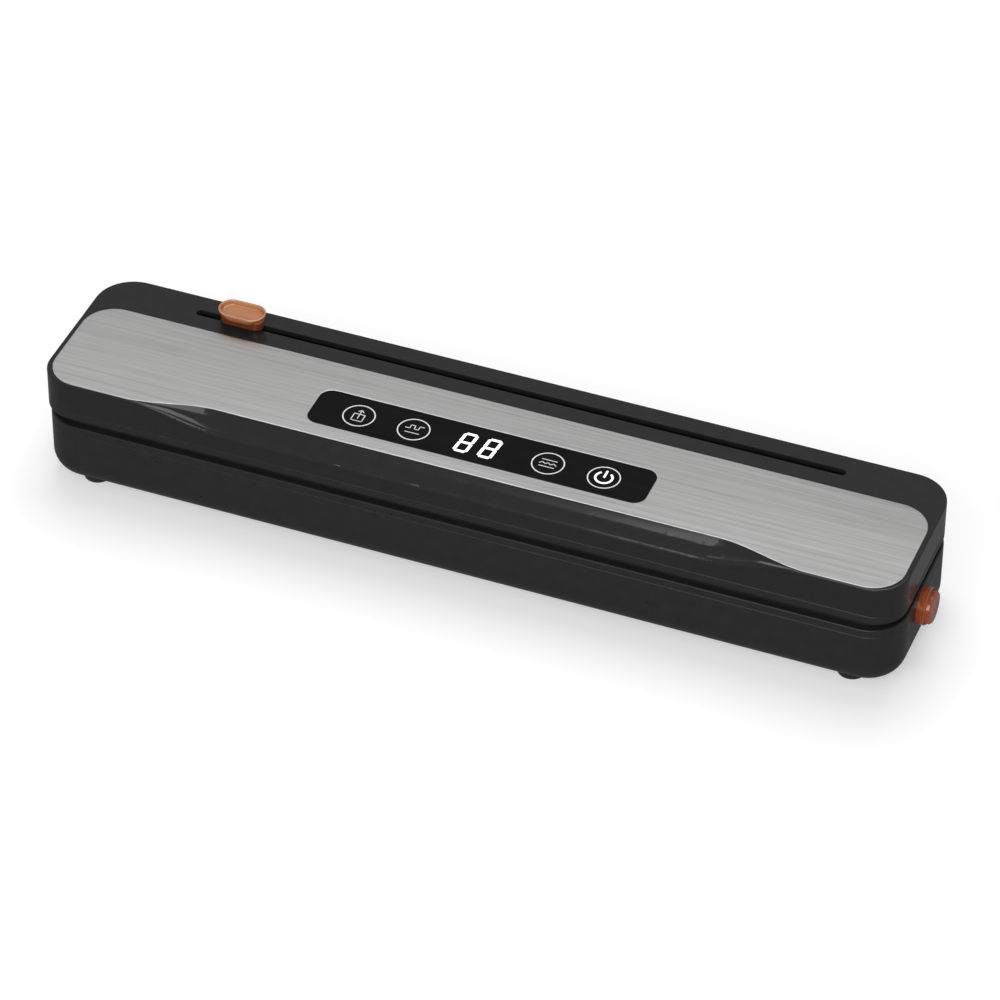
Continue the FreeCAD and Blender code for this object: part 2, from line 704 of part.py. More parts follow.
def lid_frame():
    """Lower moulding of the lid: underside, upper half of the chamber, and the hinge knuckles."""
    body = case_slab(0, LID_BOTTOM_Z, LID_SEAM_Z)
    body = body.makeFillet(EDGE_ROUND, edges_at(body, LID_BOTTOM_Z))
    body = body.makeChamfer(SEAM_CHAMFER, edges_at(body, LID_SEAM_Z))
    body = body.cut(case_slab(WALL, LID_PLATE_Z, LID_SEAM_Z + OVER))
    roof = chamber_trough(CHAMBER_WALL, LID_BOTTOM_Z, CHAMBER_ROOF_Z + CHAMBER_ROOF_THICK)
    gasket_land = gasket_ring(LID_BOTTOM_Z, LID_BOTTOM_Z + GASKET_DEPTH + LAND_THICK, GASKET_LAND)
    strip_land = box(-HEATER_HALF_X - LAND_THICK, HEATER_HALF_X + LAND_THICK,
                     HEATER_Y - STRIP_HALF_Y - LAND_THICK, HEATER_Y + STRIP_HALF_Y + LAND_THICK,
                     LID_BOTTOM_Z, LID_BOTTOM_Z + STRIP_GROOVE_DEPTH + LAND_THICK)
    knuckles = []
    for x in HINGE_STATIONS:
        low = x - LID_KNUCKLE_HALF
        high = x + LID_KNUCKLE_HALF
        knuckles.append(hinge_bar(KNUCKLE_R, low, high))
        knuckles.append(box(low, high, HINGE_Y - KNUCKLE_R, HINGE_Y + KNUCKLE_R, HINGE_Z, LID_PLATE_Z))
    body = joined(body, [roof, gasket_land, strip_land] + knuckles)
    tools = [chamber_trough(0, LID_BOTTOM_Z - OVER, CHAMBER_ROOF_Z),
             gasket_ring(LID_BOTTOM_Z - OVER, LID_BOTTOM_Z + GASKET_DEPTH),
             strip_groove(LID_BOTTOM_Z - OVER, LID_BOTTOM_Z + STRIP_GROOVE_DEPTH),
             blade_slot(LID_BOTTOM_Z - OVER, LID_PLATE_Z + OVER)]
    for x in HINGE_STATIONS:
        tools.append(hinge_bar(HINGE_PIN_R + HINGE_RUN, x - HINGE_HOLE_REACH, x + HINGE_HOLE_REACH))
        for side in (-1, 1):
            near = x + side * (LID_KNUCKLE_HALF + RUN_GAP / 2)
            far = x + side * (LID_KNUCKLE_HALF + BASE_KNUCKLE + 3 * RUN_GAP)
            tools.append(hinge_bar(KNUCKLE_R + KNUCKLE_CLEARANCE, min(near, far), max(near, far)))
    for x, y in LID_SCREW_SPOTS:
        tools.append(disc(LID_SCREW_R, x, y, LID_BOTTOM_Z - OVER, LID_PLATE_Z + OVER))
        tools.append(disc(LID_SCREW_SINK_R, x, y, LID_BOTTOM_Z - OVER, LID_BOTTOM_Z + LID_SCREW_SINK))
    return cut_all(body, tools)


def hinge_bar(radius, x0, x1):
    """Cylinder on the hinge's axis."""
    return bar_x(radius, x0, x1, HINGE_Y, HINGE_Z)


def blade_slot(z0, z1):
    """Tool for the slot that the blade runs through."""
    return stadium(0, CUTTER_Y, 2 * CUTTER_SLOT_HALF_X, BLADE_SLOT, z0, z1)


def strip_groove(z0, z1):
    """Box on the pressure strip's outline."""
    return box(-HEATER_HALF_X, HEATER_HALF_X, HEATER_Y - STRIP_HALF_Y, HEATER_Y + STRIP_HALF_Y, z0, z1)


def pressure_strip():
    """Silicone strip that presses the bag on the heater, with a rounded nose."""
    strip = strip_groove(STRIP_UNDER_Z, LID_BOTTOM_Z + STRIP_GROOVE_DEPTH)
    return strip.makeChamfer(STRIP_CHAMFER, edges_at(strip, STRIP_UNDER_Z))


def upper_gasket():
    """Gasket in the lid's underside."""
    return gasket_ring(UPPER_GASKET_UNDER_Z, LID_BOTTOM_Z + GASKET_DEPTH)


def lid_screw_set():
    """Screws that hold the two lid mouldings together."""
    half_length, half_width, depth = LID_SCREW_CROSS
    seat_z = LID_BOTTOM_Z + LID_SCREW_SINK
    screws = []
    for x, y in LID_SCREW_SPOTS:
        head = disc(LID_SCREW_HEAD_R, x, y, LID_BOTTOM_Z + SCREW_HEAD_INSET, seat_z)
        cross = cross_recess(x, y, half_length, half_width, LID_BOTTOM_Z, LID_BOTTOM_Z + depth)
        shank = disc(LID_SCREW_R, x, y, seat_z, LID_PLATE_Z + LID_SCREW_LENGTH)
        screws.append(head.cut(cross).fuse(shank))
    return Part.makeCompound(screws)


def latch_hook():
    """Right-hand hook: a blade that hangs from the lid into the base."""
    y0 = BUTTON_Y - HOOK_HALF_Y
    y1 = BUTTON_Y + HOOK_HALF_Y
    blade = box(HOOK_X[0], HOOK_X[1], y0, y1, HOOK_TIP_Z, LID_BOTTOM_Z)
    tip = [e for e in edges_at(blade, HOOK_TIP_Z) if e.BoundBox.YLength > HOOK_HALF_Y]
    blade = blade.makeChamfer(HOOK_CHAMFER, tip)
    nose = box(HOOK_X[0] - HOOK_NOSE, HOOK_X[0], y0 + OVER, y1 - OVER, HOOK_NOSE_Z[0], HOOK_NOSE_Z[1])
    return joined(blade, [nose])


def cutter_knob():
    """Finger knob of the roll cutter: a dished flange on a narrower stem with a tongue for the slot."""
    top = HEIGHT + KNOB_TOP_ABOVE_LID
    flange = stadium(0, CUTTER_Y, KNOB_LENGTH, KNOB_WIDTH, top - KNOB_FLANGE, top)
    rims = edges_at(flange, top) + edges_at(flange, top - KNOB_FLANGE)
    flange = flange.makeFillet(KNOB_FLANGE_ROUND, rims)
    dish = stadium(0, CUTTER_Y, KNOB_LENGTH - 2 * KNOB_RIM, KNOB_WIDTH - 2 * KNOB_RIM, top - KNOB_DISH,
                   top + OVER)
    dish = dish.makeFillet(KNOB_DISH_ROUND, edges_at(dish, top - KNOB_DISH))
    stem = stadium(0, CUTTER_Y, KNOB_STEM[0], KNOB_STEM[1], HEIGHT + RUN_GAP, top - KNOB_FLANGE)
    tongue = stadium(0, CUTTER_Y, KNOB_TONGUE[0], KNOB_TONGUE[1], KNOB_TONGUE_Z, HEIGHT + RUN_GAP)
    return joined(flange.cut(dish), [stem, tongue]).translate(vec(CUTTER_REST_X, 0, 0))


def cutter_carriage():
    """Block that runs in the rail and holds the blade."""
    body = box(-CARRIAGE_HALF_X, CARRIAGE_HALF_X, CUTTER_Y - RAIL_INNER + RUN_GAP,
               CUTTER_Y + RAIL_INNER - RUN_GAP, CARRIAGE_UNDER_Z, KNOB_TONGUE_Z)
    body = body.makeFillet(CARRIAGE_CORNER_R, upright_edges(body, OVER))
    blade_gap = box(-BLADE_HALF_X, BLADE_HALF_X, CUTTER_Y - BLADE_HALF_THICK, CUTTER_Y + BLADE_HALF_THICK,
                    CARRIAGE_UNDER_Z - OVER, BLADE_TOP_Z)
    body = body.cut(blade_gap)
    return body.translate(vec(CUTTER_REST_X, 0, 0))


def cutter_blade():
    """Thin two-way blade that reaches through the lid into the deck's groove."""
    tip_x, tip_z = BLADE_TIP
    points = [(-BLADE_HALF_X, BLADE_TOP_Z), (BLADE_HALF_X, BLADE_TOP_Z), (BLADE_HALF_X, BLADE_SHOULDER_Z),
              (tip_x, tip_z), (-tip_x, tip_z), (-BLADE_HALF_X, BLADE_SHOULDER_Z)]
    wire = Part.makePolygon([vec(x, CUTTER_Y - BLADE_HALF_THICK, z) for x, z in points + points[:1]])
    blade = Part.Face(wire).extrude(vec(0, 2 * BLADE_HALF_THICK, 0))
    return blade.translate(vec(CUTTER_REST_X, 0, 0))


def cutter_rail():
    """Folded metal channel that guides the cutter under its slot."""
    half_width = RAIL_INNER + RAIL_WALL
    outer = box(-RAIL_HALF_X, RAIL_HALF_X, CUTTER_Y - half_width, CUTTER_Y + half_width,
                LID_PLATE_Z, RAIL_TOP_Z)
    inner = box(-RAIL_HALF_X - OVER, RAIL_HALF_X + OVER, CUTTER_Y - RAIL_INNER, CUTTER_Y + RAIL_INNER,
                LID_PLATE_Z + RAIL_WALL, RAIL_TOP_Z + OVER)
    return outer.cut(inner).cut(blade_slot(LID_PLATE_Z - OVER, RAIL_TOP_Z))


# ---- base -----------------------------------------------------------------------------------------

def button_bore(radius):
    """Tool for the holes that take the two button bezels."""
    return both_ends(bar_x(radius, HALF_L - BORE_REACH, HALF_L + BORE_REACH, BUTTON_Y, BUTTON_Z))


def vent_slots():
    """Exhaust slots in the floor under the pump motor."""
    slots = []
    for number in range(VENT_COUNT):
        x = VENT_FIRST_X + VENT_PITCH * number
        slots.append(box(x, x + VENT_WIDTH, VENT_Y[0], VENT_Y[1], 0, TUB_FLOOR_Z + OVER))
    return slots


def base_tub():
    """Lower casing with a rounded bottom edge, screw bosses, spring posts and the socket's hole."""
    outer = base_slab(0, FOOT_HEIGHT, BASE_SEAM_Z)
    outer = outer.makeFillet(BASE_BOTTOM_ROUND, edges_at(outer, FOOT_HEIGHT))
    outer = outer.makeChamfer(SEAM_CHAMFER, edges_at(outer, BASE_SEAM_Z))
    inner = base_slab(WALL, TUB_FLOOR_Z, BASE_SEAM_Z + OVER)
    inner = inner.makeFillet(BASE_BOTTOM_ROUND - WALL, edges_at(inner, TUB_FLOOR_Z))
    root_z = TUB_FLOOR_Z - FLOOR_ROOT
    grown = [disc(BOSS_R, x, y, root_z, BOSS_TOP_Z) for x, y in BASE_SCREW_SPOTS]
    grown += both_ends(box(SPRING_STOP_X[0], SPRING_STOP_X[1], BUTTON_Y - SPRING_STOP_HALF_Y,
                           BUTTON_Y + SPRING_STOP_HALF_Y, root_z, BUTTON_Z + SPRING_STOP_RISE))
    grown += [disc(MAINS_POST_R, x, y, root_z, MAINS_Z[0]) for x in MAINS_POST_XS for y in MAINS_POST_YS]
    shell = joined(outer.cut(inner), [piece.common(outer) for piece in grown])
    tools = button_bore(BEZEL_R - BEZEL_SLEEVE) + vent_slots()
    tools.append(socket_box(HALF_W - SOCKET_HALF[1], HALF_W + OVER))
    for x, y in BASE_SCREW_SPOTS:
        tools.append(disc(BASE_SCREW_HOLE_R, x, y, 0, BOSS_TOP_Z + OVER))
        tools.append(disc(BASE_SCREW_SINK_R, x, y, 0, BASE_SCREW_HEAD_Z[1]))
    for x, y in foot_spots():
        tools.append(disc(PLUG_HOLE_R, x, y, 0, TUB_FLOOR_Z + WALL))
    return cut_all(shell, tools)


def foot_spots():
    """Where the four feet stand, the front left one first."""
    return [(side * FOOT_X, row * FOOT_Y) for row in (-1, 1) for side in (-1, 1)]


def chamber_trough(inset, z0, z1):
    """Prism on the vacuum chamber's outline, grown all round."""
    return round_box(-CHAMBER_HALF_X - inset, CHAMBER_HALF_X + inset, CHAMBER_Y[0] - inset,
                     CHAMBER_Y[1] + inset, z0, z1, CHAMBER_CORNER_R + inset)


def base_deck():
    """Upper casing: raised sealing deck with the chamber trough, grooves and hinge knuckles."""
    body = base_slab(0, BASE_SEAM_Z, BASE_TOP_Z)
    body = body.makeFillet(EDGE_ROUND, edges_at(body, BASE_TOP_Z))
    body = body.makeChamfer(SEAM_CHAMFER, edges_at(body, BASE_SEAM_Z))
    body = body.cut(base_slab(WALL, BASE_SEAM_Z - OVER, DECK_UNDER_Z))
    plateau = slab(-HALF_L + PLATEAU_INSET, HALF_L - PLATEAU_INSET, -HALF_W + PLATEAU_INSET, PLATEAU_BACK_Y,
                   BASE_FRONT_CORNER_R - PLATEAU_INSET, PLATEAU_BACK_R, DECK_UNDER_Z, PLATEAU_TOP_Z)
    plateau = plateau.makeFillet(PLATEAU_EDGE_ROUND, edges_at(plateau, PLATEAU_TOP_Z))
    added = [plateau]
    added += [disc(DECK_BOSS_R, x, y, BOSS_TOP_Z, BASE_TOP_Z - OVER) for x, y in BASE_SCREW_SPOTS]
    for x in HINGE_STATIONS:
        for side in (-1, 1):
            near = x + side * (LID_KNUCKLE_HALF + RUN_GAP)
            far = near + side * BASE_KNUCKLE
            low = min(near, far)
            high = max(near, far)
            added.append(hinge_bar(KNUCKLE_R, low, high))
            added.append(box(low, high, HINGE_Y - KNUCKLE_R, HINGE_Y + KNUCKLE_R, DECK_UNDER_Z, HINGE_Z))
    body = joined(body, added)
    tools = [chamber_trough(TRAY_WALL + TRAY_GAP, BASE_SEAM_Z, HEIGHT),
             gasket_ring(PLATEAU_TOP_Z - GASKET_DEPTH, HEIGHT), heater_groove(),
             box(-CUTTER_SLOT_HALF_X, CUTTER_SLOT_HALF_X, CUTTER_Y - CUT_GROOVE_HALF_Y,
                 CUTTER_Y + CUT_GROOVE_HALF_Y, BASE_TOP_Z - CUT_GROOVE_DEPTH, HEIGHT)]
    tools += both_ends(box(HOOK_X[0] - 3 * RUN_GAP, HOOK_X[1] + 2 * RUN_GAP,
                           BUTTON_Y - HOOK_HALF_Y - LATCH_SWING, BUTTON_Y + HOOK_HALF_Y + 3 * RUN_GAP,
                           HOOK_TIP_Z, HEIGHT))
    tools += both_ends(disc(LEAD_HOLE_R, LEAD_X, HEATER_Y, LEAD_DROP_Z, HEIGHT))
    for x in HINGE_STATIONS:
        reach = LID_KNUCKLE_HALF + RUN_GAP
        tools.append(hinge_bar(KNUCKLE_R + KNUCKLE_CLEARANCE, x - reach, x + reach))
        tools.append(hinge_bar(HINGE_PIN_R, x - HINGE_HOLE_REACH, x + HINGE_HOLE_REACH))
    tools += [disc(BASE_SCREW_R, x, y, BOSS_TOP_Z - OVER, DECK_UNDER_Z - ROOT) for x, y in BASE_SCREW_SPOTS]
    tools += button_bore(BEZEL_R - BEZEL_SLEEVE)
    return cut_all(body, tools)


def vacuum_tray():
    """Open tray that forms the lower half of the chamber, welded under the deck by its flange."""
    body = chamber_trough(TRAY_WALL, TRAY_UNDER_Z, PLATEAU_TOP_Z)
    flange = chamber_trough(TRAY_WALL + TRAY_FLANGE, DECK_UNDER_Z - TRAY_WALL, DECK_UNDER_Z)
    air_hole = disc(AIR_HOLE_R, VALVE_MID_X, VALVE_PORT_Y, TRAY_UNDER_Z - OVER, PLATEAU_TOP_Z)
    nozzle_hole = disc(NOZZLE_NECK_R, NOZZLE_X, NOZZLE_Y, TRAY_UNDER_Z - OVER, HEIGHT)
    tools = [chamber_trough(0, CHAMBER_FLOOR_Z, HEIGHT), nozzle_hole, air_hole]
    return cut_all(joined(body, [flange]), tools)


def heater_slab(half_y, z0, z1):
    """Box along the heater."""
    return box(-HEATER_HALF_X, HEATER_HALF_X, HEATER_Y - half_y, HEATER_Y + half_y, z0, z1)


def heater_groove():
    """Tool for the groove that takes the heater bar."""
    return heater_slab(HEATER_HALF_Y, HEATER_GROOVE_Z, HEIGHT)


def heater_bar():
    """Heat-proof bar under the ribbon, with the lead holes at its ends."""
    bar = heater_slab(HEATER_HALF_Y, HEATER_GROOVE_Z, HEATER_BAR_TOP_Z)
    hole = disc(LEAD_HOLE_R, LEAD_X, HEATER_Y, HEATER_GROOVE_Z - OVER, HEATER_BAR_TOP_Z + OVER)
    return cut_all(bar, both_ends(hole))


def heater_ribbon():
    """Heating ribbon on top of the bar."""
    return heater_slab(RIBBON_HALF_Y, HEATER_BAR_TOP_Z, RIBBON_TOP_Z)


def heater_tape():
    """Release tape over the ribbon, stuck to the deck's bar on both sides."""
    return heater_slab(HEATER_HALF_Y, HEATER_BAR_TOP_Z, TAPE_TOP_Z).cut(heater_ribbon())


def lower_gasket():
    """Gasket in the deck."""
    return gasket_ring(PLATEAU_TOP_Z - GASKET_DEPTH, LOWER_GASKET_TOP_Z)


def suction_nozzle():
    """Air port in the chamber floor with a spigot for the hose."""
    flange_z = CHAMBER_FLOOR_Z + NOZZLE_FLANGE_THICK
    flange = disc(NOZZLE_FLANGE_R, NOZZLE_X, NOZZLE_Y, CHAMBER_FLOOR_Z, flange_z)
    neck = disc(NOZZLE_NECK_R, NOZZLE_X, NOZZLE_Y, NOZZLE_NECK_Z, CHAMBER_FLOOR_Z)
    spigot = disc(SPIGOT_R, NOZZLE_X, NOZZLE_Y, NOZZLE_END_Z, NOZZLE_NECK_Z)
    bore = disc(NOZZLE_BORE_R, NOZZLE_X, NOZZLE_Y, NOZZLE_END_Z - OVER, PLATEAU_TOP_Z)
    return joined(flange, [neck, spigot]).cut(bore)


def hinge_pin_set():
    """One pin through the knuckles of each hinge station."""
    reach = LID_KNUCKLE_HALF + RUN_GAP + BASE_KNUCKLE
    return Part.makeCompound([hinge_bar(HINGE_PIN_R, x - reach, x + reach) for x in HINGE_STATIONS])


def base_screw_set():
    """Screws that hold the deck down on the tub."""
    half_length, half_width, depth = BASE_SCREW_CROSS
    under_z, seat_z = BASE_SCREW_HEAD_Z
    screws = []
    for x, y in BASE_SCREW_SPOTS:
        head = disc(BASE_SCREW_HEAD_R, x, y, under_z, seat_z)
        cross = cross_recess(x, y, half_length, half_width, under_z - OVER, under_z + depth)
        shank = disc(BASE_SCREW_R, x, y, seat_z, DECK_UNDER_Z - FLOOR_ROOT)
        screws.append(head.cut(cross).fuse(shank))
    return Part.makeCompound(screws)


def foot(x, y, tub):
    """Rubber foot with a plug through the floor, shaped to the rounded bottom."""
    pad = disc(FOOT_R, x, y, 0, FOOT_HEIGHT + FOOT_SEAT)
    pad = pad.makeFillet(FOOT_EDGE_ROUND, edges_at(pad, 0))
    return joined(pad.cut(tub), [disc(PLUG_R, x, y, PLUG_UNDER_Z, TUB_FLOOR_Z + PLUG_ABOVE_FLOOR)])


def pump_motor():
    """Motor can with its rear bearing."""
    can = bar_x(MOTOR_R, MOTOR_X[0], MOTOR_X[1], MOTOR_Y, MOTOR_Z)
    can = can.makeFillet(MOTOR_EDGE_ROUND, edges_across(can, MOTOR_X[1]))
    bearing_r, bearing_length = MOTOR_END
    return joined(can, [bar_x(bearing_r, MOTOR_X[1], MOTOR_X[1] + bearing_length, MOTOR_Y, MOTOR_Z)])


def pump_head():
    """Diaphragm pump: a block on the motor's nose with an inlet and an outlet spigot."""
    body = box(PUMP_X[0], PUMP_X[1], PUMP_Y[0], PUMP_Y[1], PUMP_Z[0], PUMP_Z[1])
    body = body.makeFillet(PUMP_EDGE_ROUND, [e for e in body.Edges if e.BoundBox.XLength > OVER])
    end_y = PUMP_Y[0] - PUMP_PORT_LENGTH
    ports = (PUMP_INLET_X, PUMP_INLET_X + PUMP_PORT_PITCH)
    spigots = [bar_y(SPIGOT_R, x, end_y, PUMP_Y[0], PUMP_PORT_Z) for x in ports]
    bores = [bar_y(SPIGOT_BORE_R, x, end_y - OVER, PUMP_PORT_BORE_END_Y, PUMP_PORT_Z) for x in ports]
    return cut_all(joined(body, spigots), bores)


def pump_cradle():
    """Soft cradle under the motor can."""
    body = box(CRADLE_X[0], CRADLE_X[1], MOTOR_Y - CRADLE_HALF_Y, MOTOR_Y + CRADLE_HALF_Y, TUB_FLOOR_Z,
               CRADLE_TOP_Z)
    return body.cut(bar_x(MOTOR_R, MOTOR_X[0], MOTOR_X[1], MOTOR_Y, MOTOR_Z))


def vacuum_hose():
    """Silicone hose from the chamber's port to the pump's inlet."""
    return hose([(NOZZLE_X, NOZZLE_Y, VACUUM_HOSE_TOP_Z), (NOZZLE_X, NOZZLE_Y, PUMP_PORT_Z),
                 (NOZZLE_X, VACUUM_HOSE_Y, PUMP_PORT_Z), (PUMP_INLET_X, VACUUM_HOSE_Y, PUMP_PORT_Z),
                 (PUMP_INLET_X, VACUUM_HOSE_END_Y, PUMP_PORT_Z)], VACUUM_HOSE_BEND)


def release_valve():
    """Solenoid valve that lets the air back into the chamber, with one spigot."""
    body = box(VALVE_X[0], VALVE_X[1], VALVE_Y[0], VALVE_Y[1], VALVE_Z[0], VALVE_Z[1])
    body = body.makeFillet(VALVE_EDGE_ROUND, upright_edges(body, OVER))
    spigot = bar_y(SPIGOT_R, VALVE_MID_X, VALVE_SPIGOT_Y, VALVE_Y[0], VALVE_SPIGOT_Z)
    bore = bar_y(SPIGOT_BORE_R, VALVE_MID_X, VALVE_SPIGOT_Y - OVER, VALVE_BORE_END_Y, VALVE_SPIGOT_Z)
    return joined(body, [spigot]).cut(bore)


def valve_hose():
    """Short hose between the valve and the port that ends under the chamber."""
    return hose([(VALVE_MID_X, VALVE_HOSE_Y, VALVE_SPIGOT_Z), (VALVE_MID_X, VALVE_PORT_Y, VALVE_SPIGOT_Z),
                 (VALVE_MID_X, VALVE_PORT_Y, VALVE_HOSE_TOP_Z)], VALVE_HOSE_BEND)


def valve_port():
    """Spigot under the chamber for the valve's hose."""
    body = disc(SPIGOT_R, VALVE_MID_X, VALVE_PORT_Y, VALVE_PORT_END_Z, TRAY_UNDER_Z)
    return body.cut(disc(AIR_HOLE_R, VALVE_MID_X, VALVE_PORT_Y, VALVE_PORT_END_Z - OVER, CHAMBER_FLOOR_Z))


def power_board():
    """Mains board on four posts, with its connectors and small parts."""
    under_z, top_z = MAINS_Z
    board = round_box(MAINS_X[0], MAINS_X[1], MAINS_Y[0], MAINS_Y[1], under_z, top_z, MAINS_CORNER_R)
    parts = [box(x0, x1, y0, y1, top_z, height_z) for x0, x1, y0, y1, height_z in MAINS_BLOCKS]
    parts += [disc(MAINS_CAN_R, x, y, top_z, MAINS_CAN_TOP_Z) for x, y in MAINS_CANS]
    return joined(board, parts)


def transformer():
    """Iron core with its wound bobbin."""
    core = box(CORE_X[0], CORE_X[1], CORE_Y[0], CORE_Y[1], MAINS_Z[1], CORE_TOP_Z)
    winding = box(CORE_X[0] + WINDING_SIDE, CORE_X[1] - WINDING_SIDE, CORE_Y[0] - WINDING_SIDE,
                  CORE_Y[1] + WINDING_SIDE, MAINS_Z[1] + WINDING_LEVEL, CORE_TOP_Z - WINDING_LEVEL)
    winding = winding.makeFillet(WINDING_ROUND, upright_edges(winding, OVER))
    return joined(core, [winding])


def filter_capacitor():
    """Capacitor can lying on the mains board."""
    can = bar_x(CAPACITOR_R, CAPACITOR_X[0], CAPACITOR_X[1], CAPACITOR_Y, CAPACITOR_Z)
    return can.makeFillet(CAPACITOR_ROUND, edges_across(can, CAPACITOR_X[1]))


def plug_space():
    """Figure-8 space for the mains plug, long along X."""
    half_x, half_z = PLUG_SPACE_HALF
    y0 = SOCKET_FACE_Y - PLUG_SPACE_DEPTH
    y1 = SOCKET_FACE_Y + OVER
    end = half_x - half_z
    middle = box(SOCKET_X - end, SOCKET_X + end, y0, y1, SOCKET_Z - half_z, SOCKET_Z + half_z)
    return joined(middle, [bar_y(half_z, SOCKET_X + side * end, y0, y1, SOCKET_Z) for side in (-1, 1)])


def socket_box(y0, y1):
    """Box on the inlet's outline in the back wall."""
    half_x, half_z = SOCKET_HALF
    return box(SOCKET_X - half_x, SOCKET_X + half_x, y0, y1, SOCKET_Z - half_z, SOCKET_Z + half_z)


def inlet_socket():
    """Two-pin mains inlet in the back wall."""
    body = socket_box(SOCKET_FACE_Y - SOCKET_DEPTH, SOCKET_FACE_Y)
    body = body.makeFillet(SOCKET_EDGE_ROUND, edges_facing(body, SOCKET_FACE_Y))
    return body.cut(plug_space())


def inlet_pins():
    """The inlet's two contact pins, rounded at their ends."""
    tip_y = SOCKET_FACE_Y - PIN_SET_BACK
    pins = []
    for side in (-1, 1):
        pin = bar_y(PIN_R, SOCKET_X + side * PIN_X, SOCKET_FACE_Y - PLUG_SPACE_DEPTH, tip_y, SOCKET_Z)
        pins.append(pin.makeFillet(PIN_END_ROUND, edges_facing(pin, tip_y)))
    return Part.makeCompound(pins)


def heater_lead(side, run, bend):
    """Wire from one end of the ribbon down to the mains board."""
    x = side * LEAD_X
    start = ((x, HEATER_Y, LEAD_TOP_Z), (x, HEATER_Y, LEAD_DROP_Z))
    return sweep(tube_path(start + run, bend), LEAD_R)


def lid_sensor():
    """Reed switch on a small board under the deck."""
    return joined(box(*SENSOR_BOARD), [bar_x(REED_R, REED_X[0], REED_X[1], REED_YZ[0], REED_YZ[1])])


def lid_magnet():
    """Magnet in the lid that closes the reed switch."""
    x, y, radius, height = MAGNET
    return disc(radius, x, y, LID_PLATE_Z, LID_PLATE_Z + height)


# ---- release buttons (right end; the left end is its mirror image) --------------------------------

def release_bezel():
    """Ring round the button, with a sleeve through the end wall."""
    face_x = HALF_L + BEZEL_PROUD
    ring = bar_x(BEZEL_R, HALF_L, face_x, BUTTON_Y, BUTTON_Z)
    ring = ring.makeChamfer(BEZEL_CHAMFER, edges_across(ring, face_x))
    sleeve = bar_x(BEZEL_R - BEZEL_SLEEVE, HALF_L - BEZEL_SLEEVE_LENGTH, HALF_L, BUTTON_Y, BUTTON_Z)
    bore = bar_x(BUTTON_R + RUN_GAP, HALF_L - THROUGH, HALF_L + THROUGH, BUTTON_Y, BUTTON_Z)
    return joined(ring, [sleeve]).cut(bore)


def release_button():
    """Button head with a softened rim."""
    end = HALF_L + BUTTON_PROUD
    head = bar_x(BUTTON_R, BUTTON_INNER_X, end, BUTTON_Y, BUTTON_Z)
    return head.makeFillet(BUTTON_EDGE_ROUND, edges_across(head, end))


def latch_slide():
    """Sliding frame that the hook drops through; its inner bar is the catch."""
    frame = box(FRAME_INNER_X, BUTTON_INNER_X, FRAME_Y[0], FRAME_Y[1], FRAME_Z[0], FRAME_Z[1])
    window = box(HOOK_X[0] - 2 * RUN_GAP, HOOK_X[1] + BUTTON_TRAVEL + RUN_GAP,
                 BUTTON_Y - HOOK_HALF_Y - LATCH_SWING, BUTTON_Y + HOOK_HALF_Y + 2 * RUN_GAP,
                 FRAME_Z[0] - OVER, FRAME_Z[1] + OVER)
    peg = bar_x(PEG_R, FRAME_INNER_X - PEG_LENGTH, FRAME_INNER_X, BUTTON_Y, BUTTON_Z)
    return joined(frame.cut(window), [peg])


def release_spring():
    """Compression spring between the casing's stop and the latch slide."""
    start = SPRING_STOP_X[1]
    run = FRAME_INNER_X - start - 2 * (SPRING_WIRE_R + SPRING_PLAY)
    helix = Part.makeHelix(run / SPRING_TURNS, run, SPRING_R)
    profile = Part.Wire(Part.makeCircle(SPRING_WIRE_R, vec(SPRING_R, 0, 0), vec(0, 1, 0)))
    coil = Part.Wire(helix.Edges).makePipeShell([profile], True, True)
    coil.rotate(vec(0, 0, 0), vec(0, 1, 0), 90)
    return coil.translate(vec(start + SPRING_WIRE_R + SPRING_PLAY, BUTTON_Y, BUTTON_Z))


# ---- export ---------------------------------------------------------------------------------------

def save(name, shape):
    """Writes one part and prints its volume and box."""
    if not shape.isValid():
        print("invalid shape:", name)
    shape.exportStep("parts/%s.step" % name)
    size = shape.BoundBox
    print("%-22s %9.1f mm3  x %.1f %.1f  y %.1f %.1f  z %.1f %.1f" % (
        name, shape.Volume, size.XMin, size.XMax, size.YMin, size.YMax, size.ZMin, size.ZMax))


def save_pair(name, shape):
    """Writes a right-hand part and its mirror image."""
    save(name + "_right", shape)
    save(name + "_left", mirror_x(shape))


def save_lid():
    """Writes the parts that swing with the lid."""
    save("lid_cover", lid_cover())
    save("lid_frame", lid_frame())
    save("brushed_plate", brushed_plate())
    save("touch_panel", touch_panel())
    save("display_module", display_module())
    save("control_board", control_board())
    for number, x in enumerate(KEY_XS, 1):
        save("touch_pad_%d" % number, touch_pad(x))
    save("pressure_strip", pressure_strip())
    save("upper_gasket", upper_gasket())
    save("lid_magnet", lid_magnet())
    save("lid_screws", lid_screw_set())
    save("cutter_rail", cutter_rail())
    save_pair("latch_hook", latch_hook())


def save_cutter():
    """Writes the parts that slide with the knob."""
    save("cutter_knob", cutter_knob())
    save("cutter_carriage", cutter_carriage())
    save("cutter_blade", cutter_blade())


